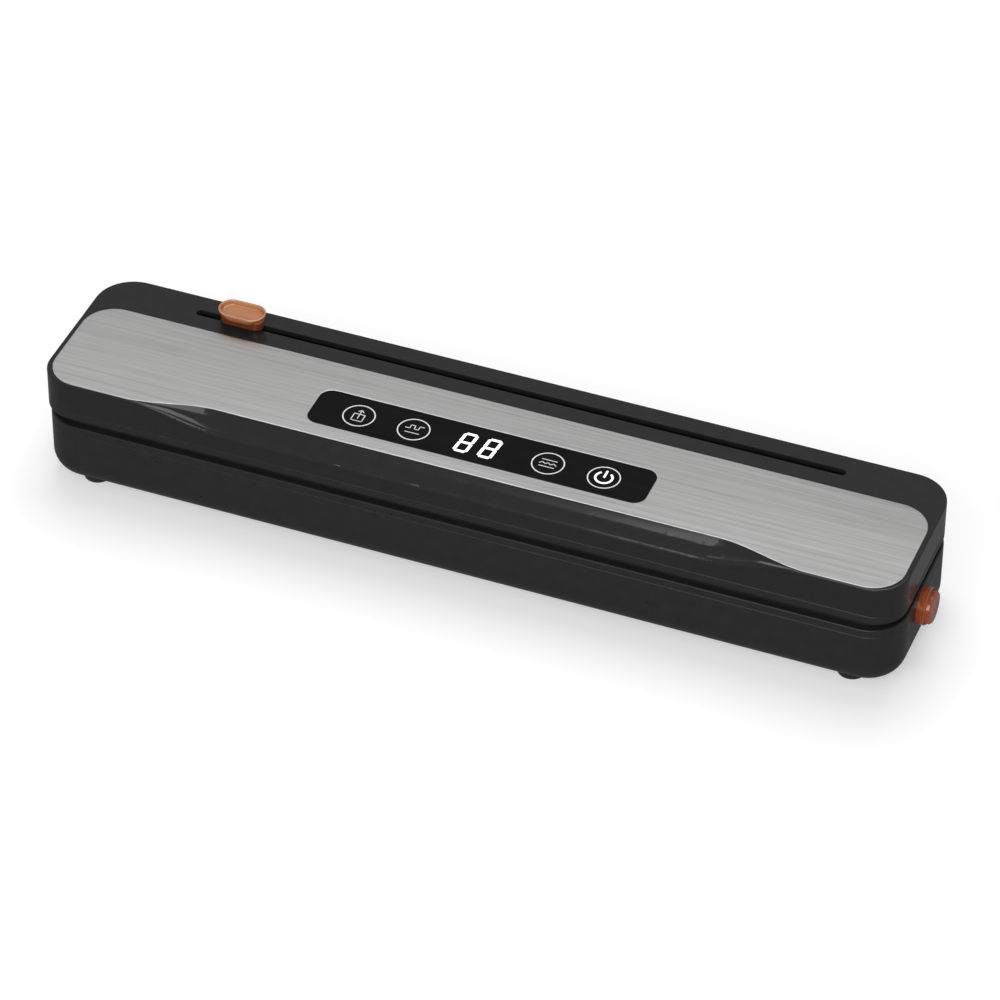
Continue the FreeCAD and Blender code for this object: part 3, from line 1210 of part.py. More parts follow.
def save_base():
    """Writes the parts that stand on the floor."""
    tub = base_tub()
    save("base_tub", tub)
    save("base_deck", base_deck())
    save("vacuum_tray", vacuum_tray())
    save("heater_bar", heater_bar())
    save("heater_ribbon", heater_ribbon())
    save("heater_tape", heater_tape())
    save("lower_gasket", lower_gasket())
    save("suction_nozzle", suction_nozzle())
    save("pump_motor", pump_motor())
    save("pump_head", pump_head())
    save("pump_cradle", pump_cradle())
    save("vacuum_hose", vacuum_hose())
    save("release_valve", release_valve())
    save("valve_hose", valve_hose())
    save("valve_port", valve_port())
    save("power_board", power_board())
    save("transformer", transformer())
    save("filter_capacitor", filter_capacitor())
    save("inlet_socket", inlet_socket())
    save("inlet_pins", inlet_pins())
    save("heater_lead_right", heater_lead(1, RIGHT_LEAD_RUN, RIGHT_LEAD_BEND))
    save("heater_lead_left", heater_lead(-1, LEFT_LEAD_RUN, LEFT_LEAD_BEND))
    save("lid_sensor", lid_sensor())
    save("hinge_pins", hinge_pin_set())
    save("base_screws", base_screw_set())
    names = ("foot_front_left", "foot_front_right", "foot_back_left", "foot_back_right")
    for name, (x, y) in zip(names, foot_spots()):
        save(name, foot(x, y, tub))
    save_pair("release_bezel", release_bezel())


def save_releases():
    """Writes the parts that move with the end buttons."""
    save_pair("release_button", release_button())
    save_pair("latch_slide", latch_slide())
    save_pair("release_spring", release_spring())


def main():
    """Writes every part."""
    os.makedirs("parts", exist_ok=True)
    save_lid()
    save_cutter()
    save_base()
    save_releases()


main()
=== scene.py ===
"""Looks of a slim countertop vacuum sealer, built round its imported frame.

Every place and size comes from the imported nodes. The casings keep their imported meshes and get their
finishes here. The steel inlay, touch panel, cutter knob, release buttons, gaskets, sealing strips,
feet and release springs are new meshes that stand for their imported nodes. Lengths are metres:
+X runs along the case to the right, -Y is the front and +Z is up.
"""
import json
import logging
import math
from dataclasses import dataclass
from enum import Enum
from typing import Iterable, Sequence

import bmesh
import bpy
from mathutils import Matrix, Vector


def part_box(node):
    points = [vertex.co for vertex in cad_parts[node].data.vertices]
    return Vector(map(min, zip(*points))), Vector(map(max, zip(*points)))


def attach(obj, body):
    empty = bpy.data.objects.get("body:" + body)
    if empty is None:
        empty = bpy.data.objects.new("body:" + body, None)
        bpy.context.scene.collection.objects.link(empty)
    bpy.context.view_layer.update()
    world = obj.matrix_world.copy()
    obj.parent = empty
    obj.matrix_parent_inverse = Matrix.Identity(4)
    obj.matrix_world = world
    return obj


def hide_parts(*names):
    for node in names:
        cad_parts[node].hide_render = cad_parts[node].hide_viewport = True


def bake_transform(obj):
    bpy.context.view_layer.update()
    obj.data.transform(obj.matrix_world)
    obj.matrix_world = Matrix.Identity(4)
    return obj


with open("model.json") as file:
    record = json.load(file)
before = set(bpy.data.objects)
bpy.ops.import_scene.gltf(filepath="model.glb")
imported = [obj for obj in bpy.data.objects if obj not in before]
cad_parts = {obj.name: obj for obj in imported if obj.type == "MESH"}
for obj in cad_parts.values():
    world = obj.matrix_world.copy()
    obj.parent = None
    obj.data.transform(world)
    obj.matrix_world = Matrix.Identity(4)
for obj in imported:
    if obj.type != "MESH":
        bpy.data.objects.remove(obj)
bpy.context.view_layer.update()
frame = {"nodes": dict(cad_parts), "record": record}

LOG = logging.getLogger("vacuum_sealer")

MM = 0.001
QUARTER = math.pi / 2
FULL_TURN = 2 * math.pi
WELD = 2e-6
LOOP_SPACING = 0.01
SMOOTH_ANGLE = math.radians(32)

Colour = tuple[float, float, float]
Socket = bpy.types.NodeSocket


class Body(Enum):
    """The bodies that pieces ride on."""

    BASE = "base"
    LID = "lid"
    CUTTER = "cutter"
    RELEASE_RIGHT = "release_right"
    RELEASE_LEFT = "release_left"


class End(Enum):
    """The two ends of the case, by the sign of X."""

    RIGHT = 1
    LEFT = -1

    @property
    def word(self) -> str:
        """The end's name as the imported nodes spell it."""
        return self.name.lower()

    @property
    def body(self) -> Body:
        """The body of this end's release button."""
        return Body["RELEASE_" + self.name]


# ---- shader work ----------------------------------------------------------------------------------


class ShaderBench:
    """One material's node tree, with short calls for the nodes that the finishes share."""

    def __init__(self, name: str) -> None:
        """Starts a material with a Principled shader.

        Args:
            name: The material's name.
        """
        self.material = bpy.data.materials.new(name)
        self.material.use_nodes = True
        self.tree = self.material.node_tree
        self.shader = self.tree.nodes["Principled BSDF"]
        self.place = self.node("ShaderNodeTexCoord").outputs["Object"]

    def node(self, kind: str) -> bpy.types.Node:
        """Adds a node of the given type."""
        return self.tree.nodes.new(kind)

    def link(self, source: Socket, target: Socket) -> None:
        """Joins two sockets."""
        self.tree.links.new(source, target)

    def fix(self, values: dict[str, object]) -> None:
        """Sets the shader's own sockets to constants."""
        for socket, value in values.items():
            self.shader.inputs[socket].default_value = value

    def feed(self, source: Socket, socket: str) -> None:
        """Links a pattern to one of the shader's sockets."""
        self.link(source, self.shader.inputs[socket])

    def stretched(self, scale: Colour, turn: float = 0.0) -> Socket:
        """Object coordinates, turned about Z and then scaled.

        Args:
            scale: Scale along each axis.
            turn: Angle about Z in radians.

        Returns:
            The mapped coordinates.
        """
        mapping = self.node("ShaderNodeMapping")
        mapping.inputs["Scale"].default_value = scale
        mapping.inputs["Rotation"].default_value = (0, 0, turn)
        self.link(self.place, mapping.inputs["Vector"])
        return mapping.outputs["Vector"]

    def grain(self, scale: float, detail: float = 2.0, coords: Socket | None = None) -> Socket:
        """Noise between 0 and 1.

        Args:
            scale: Cells per metre, or per unit of the coordinates given.
            detail: Number of finer layers.
            coords: Coordinates, or None for object coordinates.

        Returns:
            The noise's factor.
        """
        noise = self.node("ShaderNodeTexNoise")
        noise.inputs["Scale"].default_value = scale
        noise.inputs["Detail"].default_value = detail
        self.link(coords or self.place, noise.inputs["Vector"])
        return noise.outputs["Fac"]

    def cells(self, scale: float) -> Socket:
        """Distance to the nearest cell centre, for pores and pebbles."""
        voronoi = self.node("ShaderNodeTexVoronoi")
        voronoi.inputs["Scale"].default_value = scale
        self.link(self.place, voronoi.inputs["Vector"])
        return voronoi.outputs["Distance"]

    def spread(self, factor: Socket, low: float, high: float, start: float = 0.3,
               stop: float = 0.7) -> Socket:
        """Maps a factor from start..stop to low..high.

        Args:
            factor: The factor to map.
            low: Value at start.
            high: Value at stop.
            start: Lower end of the factor.
            stop: Upper end of the factor.

        Returns:
            The mapped value.
        """
        mapped = self.node("ShaderNodeMapRange")
        for socket, value in (("From Min", start), ("From Max", stop), ("To Min", low), ("To Max", high)):
            mapped.inputs[socket].default_value = value
        self.link(factor, mapped.inputs["Value"])
        return mapped.outputs["Result"]

    def sum(self, first: Socket, second: Socket, share: float) -> Socket:
        """The first factor plus a share of the second."""
        maths = self.node("ShaderNodeMath")
        maths.operation = "MULTIPLY_ADD"
        self.link(second, maths.inputs[0])
        maths.inputs[1].default_value = share
        self.link(first, maths.inputs[2])
        return maths.outputs["Value"]

    def tint(self, factor: Socket, dark: Colour, light: Colour) -> Socket:
        """Colour between dark and light.

        Args:
            factor: 0 for dark and 1 for light.
            dark: The colour at 0.
            light: The colour at 1.

        Returns:
            The mixed colour.
        """
        return self.mixed(factor, self.flat(dark), self.flat(light))

    def flat(self, colour: Colour) -> Socket:
        """One even colour."""
        rgb = self.node("ShaderNodeRGB")
        rgb.outputs["Color"].default_value = (*colour, 1)
        return rgb.outputs["Color"]

    def mixed(self, factor: Socket, first: Socket, second: Socket) -> Socket:
        """Mixes two colours.

        Args:
            factor: 0 for the first and 1 for the second.
            first: The first colour.
            second: The second colour.

        Returns:
            The mixed colour.
        """
        mix = self.node("ShaderNodeMix")
        mix.data_type = "RGBA"
        colours = [s for s in mix.inputs if s.type == "RGBA"]
        self.link(factor, mix.inputs["Factor"])
        self.link(first, colours[0])
        self.link(second, colours[1])
        return [s for s in mix.outputs if s.type == "RGBA"][0]

    def relief(self, height: Socket, depth: float, strength: float = 1.0) -> None:
        """Adds a bump on top of any that the shader already has.

        Args:
            height: Height between 0 and 1.
            depth: Height of the relief in metres.
            strength: Share of the relief that shows.
        """
        bump = self.node("ShaderNodeBump")
        bump.inputs["Strength"].default_value = strength
        bump.inputs["Distance"].default_value = depth
        self.link(height, bump.inputs["Height"])
        normal = self.shader.inputs["Normal"]
        if normal.is_linked:
            self.link(normal.links[0].from_socket, bump.inputs["Normal"])
        self.link(bump.outputs["Normal"], normal)


def shade(colour: Colour, share: float) -> Colour:
    """A colour made darker or lighter by a share."""
    return tuple(min(1.0, c * share) for c in colour)


@dataclass(frozen=True)
class Finish:
    """A finish: its record slot and main colour. Each kind lays out its own pattern."""

    slot: str
    colour: Colour

    @property
    def name(self) -> str:
        """The material's name."""
        return self.slot + "_finish"

    def material(self) -> bpy.types.Material:
        """The finish's material, made on first use."""
        found = bpy.data.materials.get(self.name)
        if found:
            return found
        bench = ShaderBench(self.name)
        self.lay(bench)
        return bench.material

    def lay(self, bench: ShaderBench) -> None:
        """Lays the pattern out on a bench."""
        raise NotImplementedError


@dataclass(frozen=True)
class Moulding(Finish):
    """Injection-moulded plastic: faint mottle in colour and gloss over a fine moulded grain."""

    roughness: float = 0.3
    level: float = 0.5
    mottle: float = 0.15
    grain_scale: float = 2600.0
    grain_depth: float = 0.00001
    coat: float = 0.0

    def lay(self, bench: ShaderBench) -> None:
        """Colour and roughness follow a cloudy mottle, and the bump a fine grain."""
        clouds = bench.grain(180.0, 4.0)
        patches = bench.sum(clouds, bench.grain(900.0, 2.0), 0.5)
        bench.feed(bench.tint(bench.spread(patches, 0, 1, 0.5, 1.0), shade(self.colour, 1 - self.mottle),
                              shade(self.colour, 1 + self.mottle)), "Base Color")
        bench.feed(bench.spread(patches, self.roughness * 0.85, self.roughness * 1.15, 0.5, 1.0), "Roughness")
        bench.fix({"Specular IOR Level": self.level, "Coat Weight": self.coat, "Coat Roughness": 0.04})
        bench.relief(bench.grain(self.grain_scale, 3.0), self.grain_depth)


@dataclass(frozen=True)
class BrushedSteel(Finish):
    """Stainless sheet brushed along X, with long streaks of mixed length and width."""

    roughness: float = 0.34
    uv_map: str = "brush"

    def lay(self, bench: ShaderBench) -> None:
        """Three layers of stretched noise drive the colour, the roughness and the bump."""
        broad = bench.grain(1.0, 3.0, bench.stretched((9.0, 420.0, 420.0)))
        middle = bench.grain(1.0, 3.0, bench.stretched((22.0, 1300.0, 1300.0)))
        fine = bench.grain(1.0, 2.0, bench.stretched((70.0, 5200.0, 5200.0)))
        streaks = bench.sum(bench.sum(broad, middle, 0.8), fine, 0.5)
        span = (0.85, 1.45)
        bench.feed(bench.tint(bench.spread(streaks, 0, 1, *span), shade(self.colour, 0.74),
                              shade(self.colour, 1.16)), "Base Color")
        bench.feed(bench.spread(streaks, self.roughness * 1.2, self.roughness * 0.85, *span), "Roughness")
        bench.fix({"Metallic": 1.0, "Anisotropic": 0.75})
        tangent = bench.node("ShaderNodeTangent")
        tangent.direction_type = "UV_MAP"
        tangent.uv_map = self.uv_map
        bench.feed(tangent.outputs["Tangent"], "Tangent")
        bench.relief(streaks, 0.000004)


@dataclass(frozen=True)
class Pane(Finish):
    """Printed acrylic pane: near black, evenly polished, with the faintest dust and wipe marks."""

    roughness: float = 0.16
    level: float = 0.18

    def lay(self, bench: ShaderBench) -> None:
        """Wipe marks run across the pane in the roughness only."""
        wipes = bench.grain(1.0, 4.0, bench.stretched((60.0, 260.0, 60.0), math.radians(24)))
        specks = bench.grain(2400.0, 1.0)
        bench.feed(bench.tint(bench.spread(specks, 0, 1, 0.66, 0.8), self.colour, shade(self.colour, 1.8)),
                   "Base Color")
        bench.feed(bench.spread(wipes, self.roughness * 0.8, self.roughness * 1.3), "Roughness")
        bench.fix({"Specular IOR Level": self.level})
        bench.relief(bench.grain(120.0, 2.0), 0.00001, 0.3)


@dataclass(frozen=True)
class TintedResin(Finish):
    """Copper-tinted clear plastic: light enters it, and flow marks stir its colour."""

    deep: Colour = (0.35, 0.06, 0.012)
    roughness: float = 0.1
    clearness: float = 0.35
    use: str = "knob"
    # Heights between which the painted shade on the knob's stem, under its flange, fades out.
    painted_shade_below: float = 0.0
    clear_above: float = 0.001

    @property
    def name(self) -> str:
        """The material's name, which tells the mouldings apart."""
        return self.use + "_resin"

    def lay(self, bench: ShaderBench) -> None:
        """The colour deepens at a glancing view and drifts with faint flow marks; below a set height it is
        painted darker, as painted shade under the knob's flange.
        """
        flow = bench.grain(1.0, 3.0, bench.stretched((120.0, 320.0, 320.0)))
        facing = bench.node("ShaderNodeLayerWeight")
        facing.inputs["Blend"].default_value = 0.35
        height = bench.node("ShaderNodeSeparateXYZ")
        bench.link(bench.place, height.inputs["Vector"])
        # Painted shade: below the set height the colour is darkened to stand for the flange's shadow on the
        # stem.
        clear_of_painted_shade = bench.spread(height.outputs["Z"], 0, 1, self.painted_shade_below, self.clear_above)
        bright = bench.tint(bench.spread(flow, 0, 1), shade(self.colour, 0.86), shade(self.colour, 1.1))
        body = bench.mixed(facing.outputs["Facing"], bright, bench.flat(self.deep))
        bench.feed(bench.mixed(clear_of_painted_shade, bench.flat(shade(self.deep, 0.6)), body), "Base Color")
        bench.feed(bench.spread(flow, self.roughness * 0.7, self.roughness * 1.4), "Roughness")
        bench.fix({"Transmission Weight": self.clearness, "IOR": 1.5, "Coat Weight": 0.6,
                   "Coat Roughness": 0.03})
        bench.relief(flow, 0.00002, 0.4)


@dataclass(frozen=True)
class Ink(Finish):
    """Back-lit print: a light colour with the halftone of a diffuser behind it."""

    glow: float = 0.6
    use: str = "key"

    @property
    def name(self) -> str:
        """The material's name, which tells the inks apart."""
        return self.use + "_ink"

    def lay(self, bench: ShaderBench) -> None:
        """The glow is uneven by a few percent, as a light guide's is."""
        even = bench.grain(900.0, 2.0)
        light = bench.tint(bench.spread(even, 0, 1), shade(self.colour, 0.9), self.colour)
        bench.feed(light, "Base Color")
        bench.feed(light, "Emission Color")
        bench.feed(bench.spread(even, 0.5, 0.6), "Roughness")
        bench.fix({"Emission Strength": self.glow, "Specular IOR Level": 0.2})


@dataclass(frozen=True)
class Rubber(Finish):
    """Soft rubber or silicone: matt, with a fine bloom and a pebbled skin."""

    roughness: float = 0.7
    clearness: float = 0.0
    pebble_scale: float = 1800.0

    def lay(self, bench: ShaderBench) -> None:
        """The bloom lightens patches, and the pebbles are a shallow bump."""
        bloom = bench.grain(240.0, 4.0)
        bench.feed(bench.tint(bench.spread(bloom, 0, 1), shade(self.colour, 0.8), shade(self.colour, 1.25)),
                   "Base Color")
        bench.feed(bench.spread(bloom, self.roughness * 0.9, self.roughness * 1.1), "Roughness")
        bench.fix({"Sheen Weight": 0.08, "Transmission Weight": self.clearness, "Specular IOR Level": 0.35})
        bench.relief(bench.cells(self.pebble_scale), 0.00003, 0.5)


@dataclass(frozen=True)
class ClosedFoam(Finish):
    """Closed-cell foam: cut cells show as small pits."""

    cell_scale: float = 1500.0

    def lay(self, bench: ShaderBench) -> None:
        """Cells are painted darker at their centres, as painted shade in the pits, and pit the surface."""
        cells = bench.cells(self.cell_scale)
        # Painted shade: each cell is darker at its centre, where its pit is deepest.
        bench.feed(bench.tint(bench.spread(cells, 0, 1, 0.1, 0.6), shade(self.colour, 0.6),
                              shade(self.colour, 1.4)), "Base Color")
        bench.feed(bench.spread(bench.grain(300.0, 3.0), 0.8, 0.95), "Roughness")
        bench.fix({"Specular IOR Level": 0.25, "Sheen Weight": 0.1})
        bench.relief(cells, 0.00012, 0.7)


@dataclass(frozen=True)
class PlatedMetal(Finish):
    """Bare or plated metal with drawn or turned lines and a little staining."""

    roughness: float = 0.3
    lines: Colour = (40.0, 1800.0, 1800.0)

    def lay(self, bench: ShaderBench) -> None:
        """Drawn lines drive the roughness, and clouds of stain the colour."""
        drawn = bench.grain(1.0, 3.0, bench.stretched(self.lines))
        stain = bench.grain(260.0, 4.0)
        bench.feed(bench.tint(bench.spread(stain, 0, 1), shade(self.colour, 0.8), shade(self.colour, 1.1)),
                   "Base Color")
        bench.feed(bench.spread(drawn, self.roughness * 0.75, self.roughness * 1.3), "Roughness")
        bench.fix({"Metallic": 1.0})
        bench.relief(drawn, 0.000006)


@dataclass(frozen=True)
class Laminate(Finish):
    """Circuit board: solder mask over etched tracks that run at right angles."""

    track: Colour = (0.05, 0.28, 0.12)

    def lay(self, bench: ShaderBench) -> None:
        """Stepped noise lays out the tracks, which stand a little proud."""
        along = bench.grain(1.0, 0.0, bench.stretched((90.0, 900.0, 1.0)))
        across = bench.grain(1.0, 0.0, bench.stretched((900.0, 90.0, 1.0)))
        tracks = bench.spread(bench.sum(along, across, 1.0), 0, 1, 1.08, 1.12)
        bench.feed(bench.tint(tracks, self.colour, self.track), "Base Color")
        bench.feed(bench.spread(bench.grain(500.0, 3.0), 0.25, 0.4), "Roughness")
        bench.relief(tracks, 0.00003)


@dataclass(frozen=True)
class GlassCloth(Finish):
    """Release tape: a fine plain weave of glass under a brown non-stick film."""

    thread: float = 0.0004

    def lay(self, bench: ShaderBench) -> None:
        """Two crossed waves make the weave's relief and paint its gaps darker, as painted shade between the
        threads.
        """
        waves = []
        for direction in ("X", "Y"):
            wave = bench.node("ShaderNodeTexWave")
            wave.bands_direction = direction
            wave.inputs["Scale"].default_value = 1 / (20 * self.thread)
            wave.inputs["Distortion"].default_value = 0.4
            bench.link(bench.place, wave.inputs["Vector"])
            waves.append(wave.outputs["Fac"])
        weave = bench.sum(waves[0], waves[1], 1.0)
        worn = bench.grain(1.0, 4.0, bench.stretched((30.0, 500.0, 1.0)))
        # Painted shade in the weave's gaps, mixed with real wear from the stretched noise.
        mixed = bench.sum(bench.spread(weave, 0, 0.5, 0.0, 2.0), worn, 0.5)
        bench.feed(bench.tint(mixed, shade(self.colour, 0.6), shade(self.colour, 1.4)), "Base Color")
        bench.feed(bench.spread(worn, 0.35, 0.5), "Roughness")
        bench.relief(weave, 0.00003, 0.6)


BLACK_GLOSS = Moulding("black_gloss", (0.016, 0.016, 0.0165), 0.13, 0.3, 0.08, 1400.0, 0.000002)
BLACK_SATIN = Moulding("black_satin", (0.017, 0.017, 0.0175), 0.32, 0.3, 0.12, 2400.0, 0.000006)
STEEL = BrushedSteel("brushed_steel", (0.49, 0.49, 0.487))
PANE = Pane("panel_black", (0.0032, 0.0032, 0.0032), 0.16, 0.09)
# The knob's last two numbers set the painted shade on its stem under the flange.
COPPER = TintedResin("copper_clear", (0.60, 0.27, 0.125), (0.30, 0.07, 0.02), 0.1, 0.15, "knob",
                      0.0585, 0.0593)
BUTTON_COPPER = TintedResin("copper_clear", (0.32, 0.066, 0.016), (0.22, 0.03, 0.006), 0.1, 0.05, "button")
KEY_INK = Ink("display_grey", (0.6, 0.6, 0.6), 0.25)
MARK_INK = Ink("display_grey", (0.6, 0.6, 0.6), 0.2, "mark")
POWER_INK = Ink("display_grey", (0.85, 0.85, 0.85), 0.5, "power")
DIGIT_INK = Ink("display_grey", (1.0, 1.0, 1.0), 0.8, "digit")
RUBBER = Rubber("foot_rubber", (0.012, 0.012, 0.012))
SILICONE = Rubber("silicone_grey", (0.30, 0.30, 0.30), 0.5, 0.1)
HOSE = Rubber("hose_silicone", (0.72, 0.72, 0.70), 0.4, 0.4)
LEAD = Rubber("lead_insulation", (0.45, 0.03, 0.025), 0.5)
FOAM = ClosedFoam("gasket_foam", (0.035, 0.035, 0.036))
BRIGHT = PlatedMetal("bright_metal", (0.72, 0.72, 0.71), 0.16)
PLATED = PlatedMetal("screw_steel", (0.50, 0.50, 0.50), 0.3)
BOARD = Laminate("circuit_board", (0.012, 0.12, 0.05))
TAPE = GlassCloth("release_tape", (0.32, 0.19, 0.10))
PHENOLIC = Moulding("heat_proof_board", (0.12, 0.065, 0.035), 0.5, 0.4, 0.3, 1500.0, 0.00002)
SLIDE_PLASTIC = Moulding("carriage_plastic", (0.03, 0.03, 0.03), 0.4, 0.4, 0.2, 2000.0, 0.00001)
PUMP_PLASTIC = Moulding("pump_plastic", (0.62, 0.62, 0.60), 0.4, 0.4, 0.06, 2000.0, 0.00001)
WINDING = Moulding("transformer_core", (0.5, 0.38, 0.05), 0.35, 0.5, 0.2, 700.0, 0.00003)
SLEEVE = Moulding("capacitor_sleeve", (0.015, 0.018, 0.05), 0.2, 0.5, 0.15, 900.0, 0.00001)
MODULE_GREY = Moulding("display_grey", (0.2, 0.2, 0.2), 0.5, 0.4, 0.1)

FINISH_OF_SLOT: dict[str, Finish] = {f.slot: f for f in (
    BLACK_GLOSS, BLACK_SATIN, STEEL, PANE, COPPER, RUBBER, SILICONE, HOSE, LEAD, FOAM, BRIGHT, PLATED,
    BOARD, TAPE, PHENOLIC, SLIDE_PLASTIC, PUMP_PLASTIC, WINDING, SLEEVE)}
FINISH_OF_SLOT["display_grey"] = MODULE_GREY


# ---- mesh work ------------------------------------------------------------------------------------


@dataclass(frozen=True)
class Outline:
    """A rounded rectangle in plan, centred on a point. A stadium has a radius of half its width."""

    half_x: float
    half_y: float
    radius: float
    centre: tuple[float, float] = (0.0, 0.0)
    steps: int = 12

    @staticmethod
    def of_box(low: Vector, high: Vector, radius: float, steps: int = 12) -> "Outline":
        """The outline that fills a box in plan.

        Args:
            low: The box's lowest corner.
            high: The box's highest corner.
            radius: Corner radius.
            steps: Segments in each corner.

        Returns:
            The outline.
        """
        middle = (low + high) / 2
        half = (high - low) / 2
        return Outline(half.x, half.y, radius, (middle.x, middle.y), steps)


@dataclass(frozen=True)
class Level:
    """One level of a skin: the outline's growth, its height, its edge's rounding and extra half length."""

    grow: float
    z: float
    rounding: float = 0.0
    stretch: float = 0.0

    def blend(self, other: "Level", share: float) -> "Level":
        """The level at a share of the way to another."""
        pairs = ((self.grow, other.grow), (self.z, other.z), (self.stretch, other.stretch))
        grow, z, stretch = (a + (b - a) * share for a, b in pairs)
        return Level(grow, z, 0.0, stretch)

    def toward(self, other: "Level") -> "Level":
        """Where this level's rounding meets the wall to another level."""
        run = math.hypot(other.grow - self.grow, other.z - self.z)
        return self.blend(other, min(0.5, self.rounding / run))


def rounded(levels: Sequence[Level], closed: bool, segments: int) -> list[Level]:
    """Replaces each level that is marked for rounding by the levels of a fillet.

    Args:
        levels: The levels in order.
        closed: True when the last level joins the first.
        segments: Segments in each fillet.

    Returns:
        The levels with their fillets.
    """
    made = []
    for number, level in enumerate(levels):
        if level.rounding and (closed or 0 < number < len(levels) - 1):
            start = level.toward(levels[number - 1])
            stop = level.toward(levels[(number + 1) % len(levels)])
            shares = [step / segments for step in range(segments + 1)]
            made += [start.blend(level, t).blend(level.blend(stop, t), t) for t in shares]
        else:
            made.append(level)
    return made


class Workpiece:
    """One bmesh on its way to being a finished piece."""

    def __init__(self) -> None:
        """Starts with an empty mesh."""
        self.bm = bmesh.new()

    def outline(self, shape: Outline, grow: float, z: float, stretch: float = 0.0) -> bmesh.types.BMFace:
        """Lays a flat face with rounded corners.

        Args:
            shape: The outline.
            grow: Distance by which it grows all round.
            z: Its height.
            stretch: Extra half length along X.

        Returns:
            The face.
        """
        bm = self.bm
        verts = bmesh.ops.create_grid(bm, x_segments=1, y_segments=1, size=1.0)["verts"]
        bmesh.ops.scale(bm, vec=(shape.half_x + grow + stretch, shape.half_y + grow, 1), verts=verts)
        bmesh.ops.translate(bm, vec=(*shape.centre, z), verts=verts)
        made = bmesh.ops.bevel(bm, geom=verts, affect="VERTICES", offset=shape.radius + grow,
                               segments=shape.steps, profile=0.5, material=-1)
        face = made["verts"][0].link_faces[0]
        bmesh.ops.remove_doubles(bm, verts=list(face.verts), dist=WELD)
        return face

    def skin(self, shape: Outline, levels: Sequence[Level], closed: bool = False, segments: int = 4) -> None:
        """Joins the outline's loops at each level, rounds the marked ones and caps the ends.

        The loops are joined while spaced well apart, so that level ones pair up rightly.

        Args:
            shape: The outline.
            levels: The levels in order.
            closed: True for a ring whose last level joins the first.
            segments: Segments in each rounding.
        """
        bm = self.bm
        levels = rounded(levels, closed, segments)
        loops = []
        rings = []
        for number, level in enumerate(levels):
            face = self.outline(shape, level.grow, number * LOOP_SPACING, level.stretch)
            loops.append(list(face.edges))
            rings.append(list(face.verts))
            if closed or 0 < number < len(levels) - 1:
                bmesh.ops.delete(bm, geom=[face], context="FACES_ONLY")
        following = loops[1:] + loops[:1] if closed else loops[1:]
        for first, second in zip(loops, following):
            bmesh.ops.bridge_loops(bm, edges=first + second)
        for number, (ring, level) in enumerate(zip(rings, levels)):
            bmesh.ops.translate(bm, vec=(0, 0, level.z - number * LOOP_SPACING), verts=ring)

    def lathe(self, profile: Sequence[tuple[float, float]], steps: int = 48) -> None:
        """Turns a profile of radius and height about Z, starting and ending on the axis or closed.

        Args:
            profile: Points of radius and height.
            steps: Segments round the turn.
        """
        bm = self.bm
        verts = [bm.verts.new((radius, 0, z)) for radius, z in profile]
        edges = [bm.edges.new(pair) for pair in zip(verts, verts[1:])]
        bmesh.ops.spin(bm, geom=verts + edges, cent=(0, 0, 0), axis=(0, 0, 1), angle=FULL_TURN, steps=steps,
                       use_merge=True, use_duplicate=False)
        bmesh.ops.remove_doubles(bm, verts=bm.verts, dist=WELD)

    def move(self, matrix: Matrix) -> None:
        """Applies a transform to the whole mesh."""
        bmesh.ops.transform(self.bm, matrix=matrix, verts=self.bm.verts)

    def take(self, other: "Workpiece") -> None:
        """Adds another workpiece's mesh to this one."""
        carrier = bpy.data.meshes.new("carrier")
        other.bm.to_mesh(carrier)
        other.bm.free()
        self.bm.from_mesh(carrier)
        bpy.data.meshes.remove(carrier)

    def close(self, name: str, finish: Finish, smooth: float = SMOOTH_ANGLE) -> bpy.types.Object:
        """Closes the mesh and dresses it.

        Args:
            name: The piece's name.
            finish: Its finish.
            smooth: Edges flatter than this angle are shaded smooth.

        Returns:
            The finished object, not yet on a body.
        """
        bmesh.ops.remove_doubles(self.bm, verts=self.bm.verts, dist=WELD)
        bmesh.ops.recalc_face_normals(self.bm, faces=self.bm.faces)
        mesh = bpy.data.meshes.new(name)
        self.bm.to_mesh(mesh)
        self.bm.free()
        mesh.shade_smooth()
        mesh.set_sharp_from_angle(angle=smooth)
        mesh.materials.append(finish.material())
        piece = bpy.data.objects.new(name, mesh)
        bpy.context.scene.collection.objects.link(piece)
        LOG.info("made %s: %d faces", name, len(mesh.polygons))
        return piece

    def finish(self, name: str, body: Body, finish: Finish, stands_for: Iterable[str] = (),
               smooth: float = SMOOTH_ANGLE) -> bpy.types.Object:
        """Closes the mesh, dresses it and sets it riding.

        Args:
            name: The piece's name.
            body: The body it rides on.
            finish: Its finish.
            stands_for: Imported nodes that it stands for.
            smooth: Edges flatter than this angle are shaded smooth.

        Returns:
            The finished object.
        """
        piece = self.close(name, finish, smooth)
        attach(piece, body.value)
        nodes = list(stands_for)
        if nodes:
            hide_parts(*nodes)
        return piece


def tilted(direction: Vector, turn: float = 0.0) -> Matrix:
    """Rotation that takes +Z to a direction, after a turn about Z."""
    return direction.to_track_quat("Z", "Y").to_matrix().to_4x4() @ Matrix.Rotation(turn, 4, "Z")


def turned_size(node: str) -> tuple[float, float, float]:
    """Radius of a node that is round about X, and how far out its inner and outer ends lie."""
    low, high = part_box(node)
    inner, outer = sorted((abs(low.x), abs(high.x)))
    return (high.y - low.y) / 2, inner, outer


def middle_of(node: str) -> Vector:
    """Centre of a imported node's box."""
    low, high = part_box(node)
    return (low + high) / 2


# ---- sub-assemblies -------------------------------------------------------------------------------


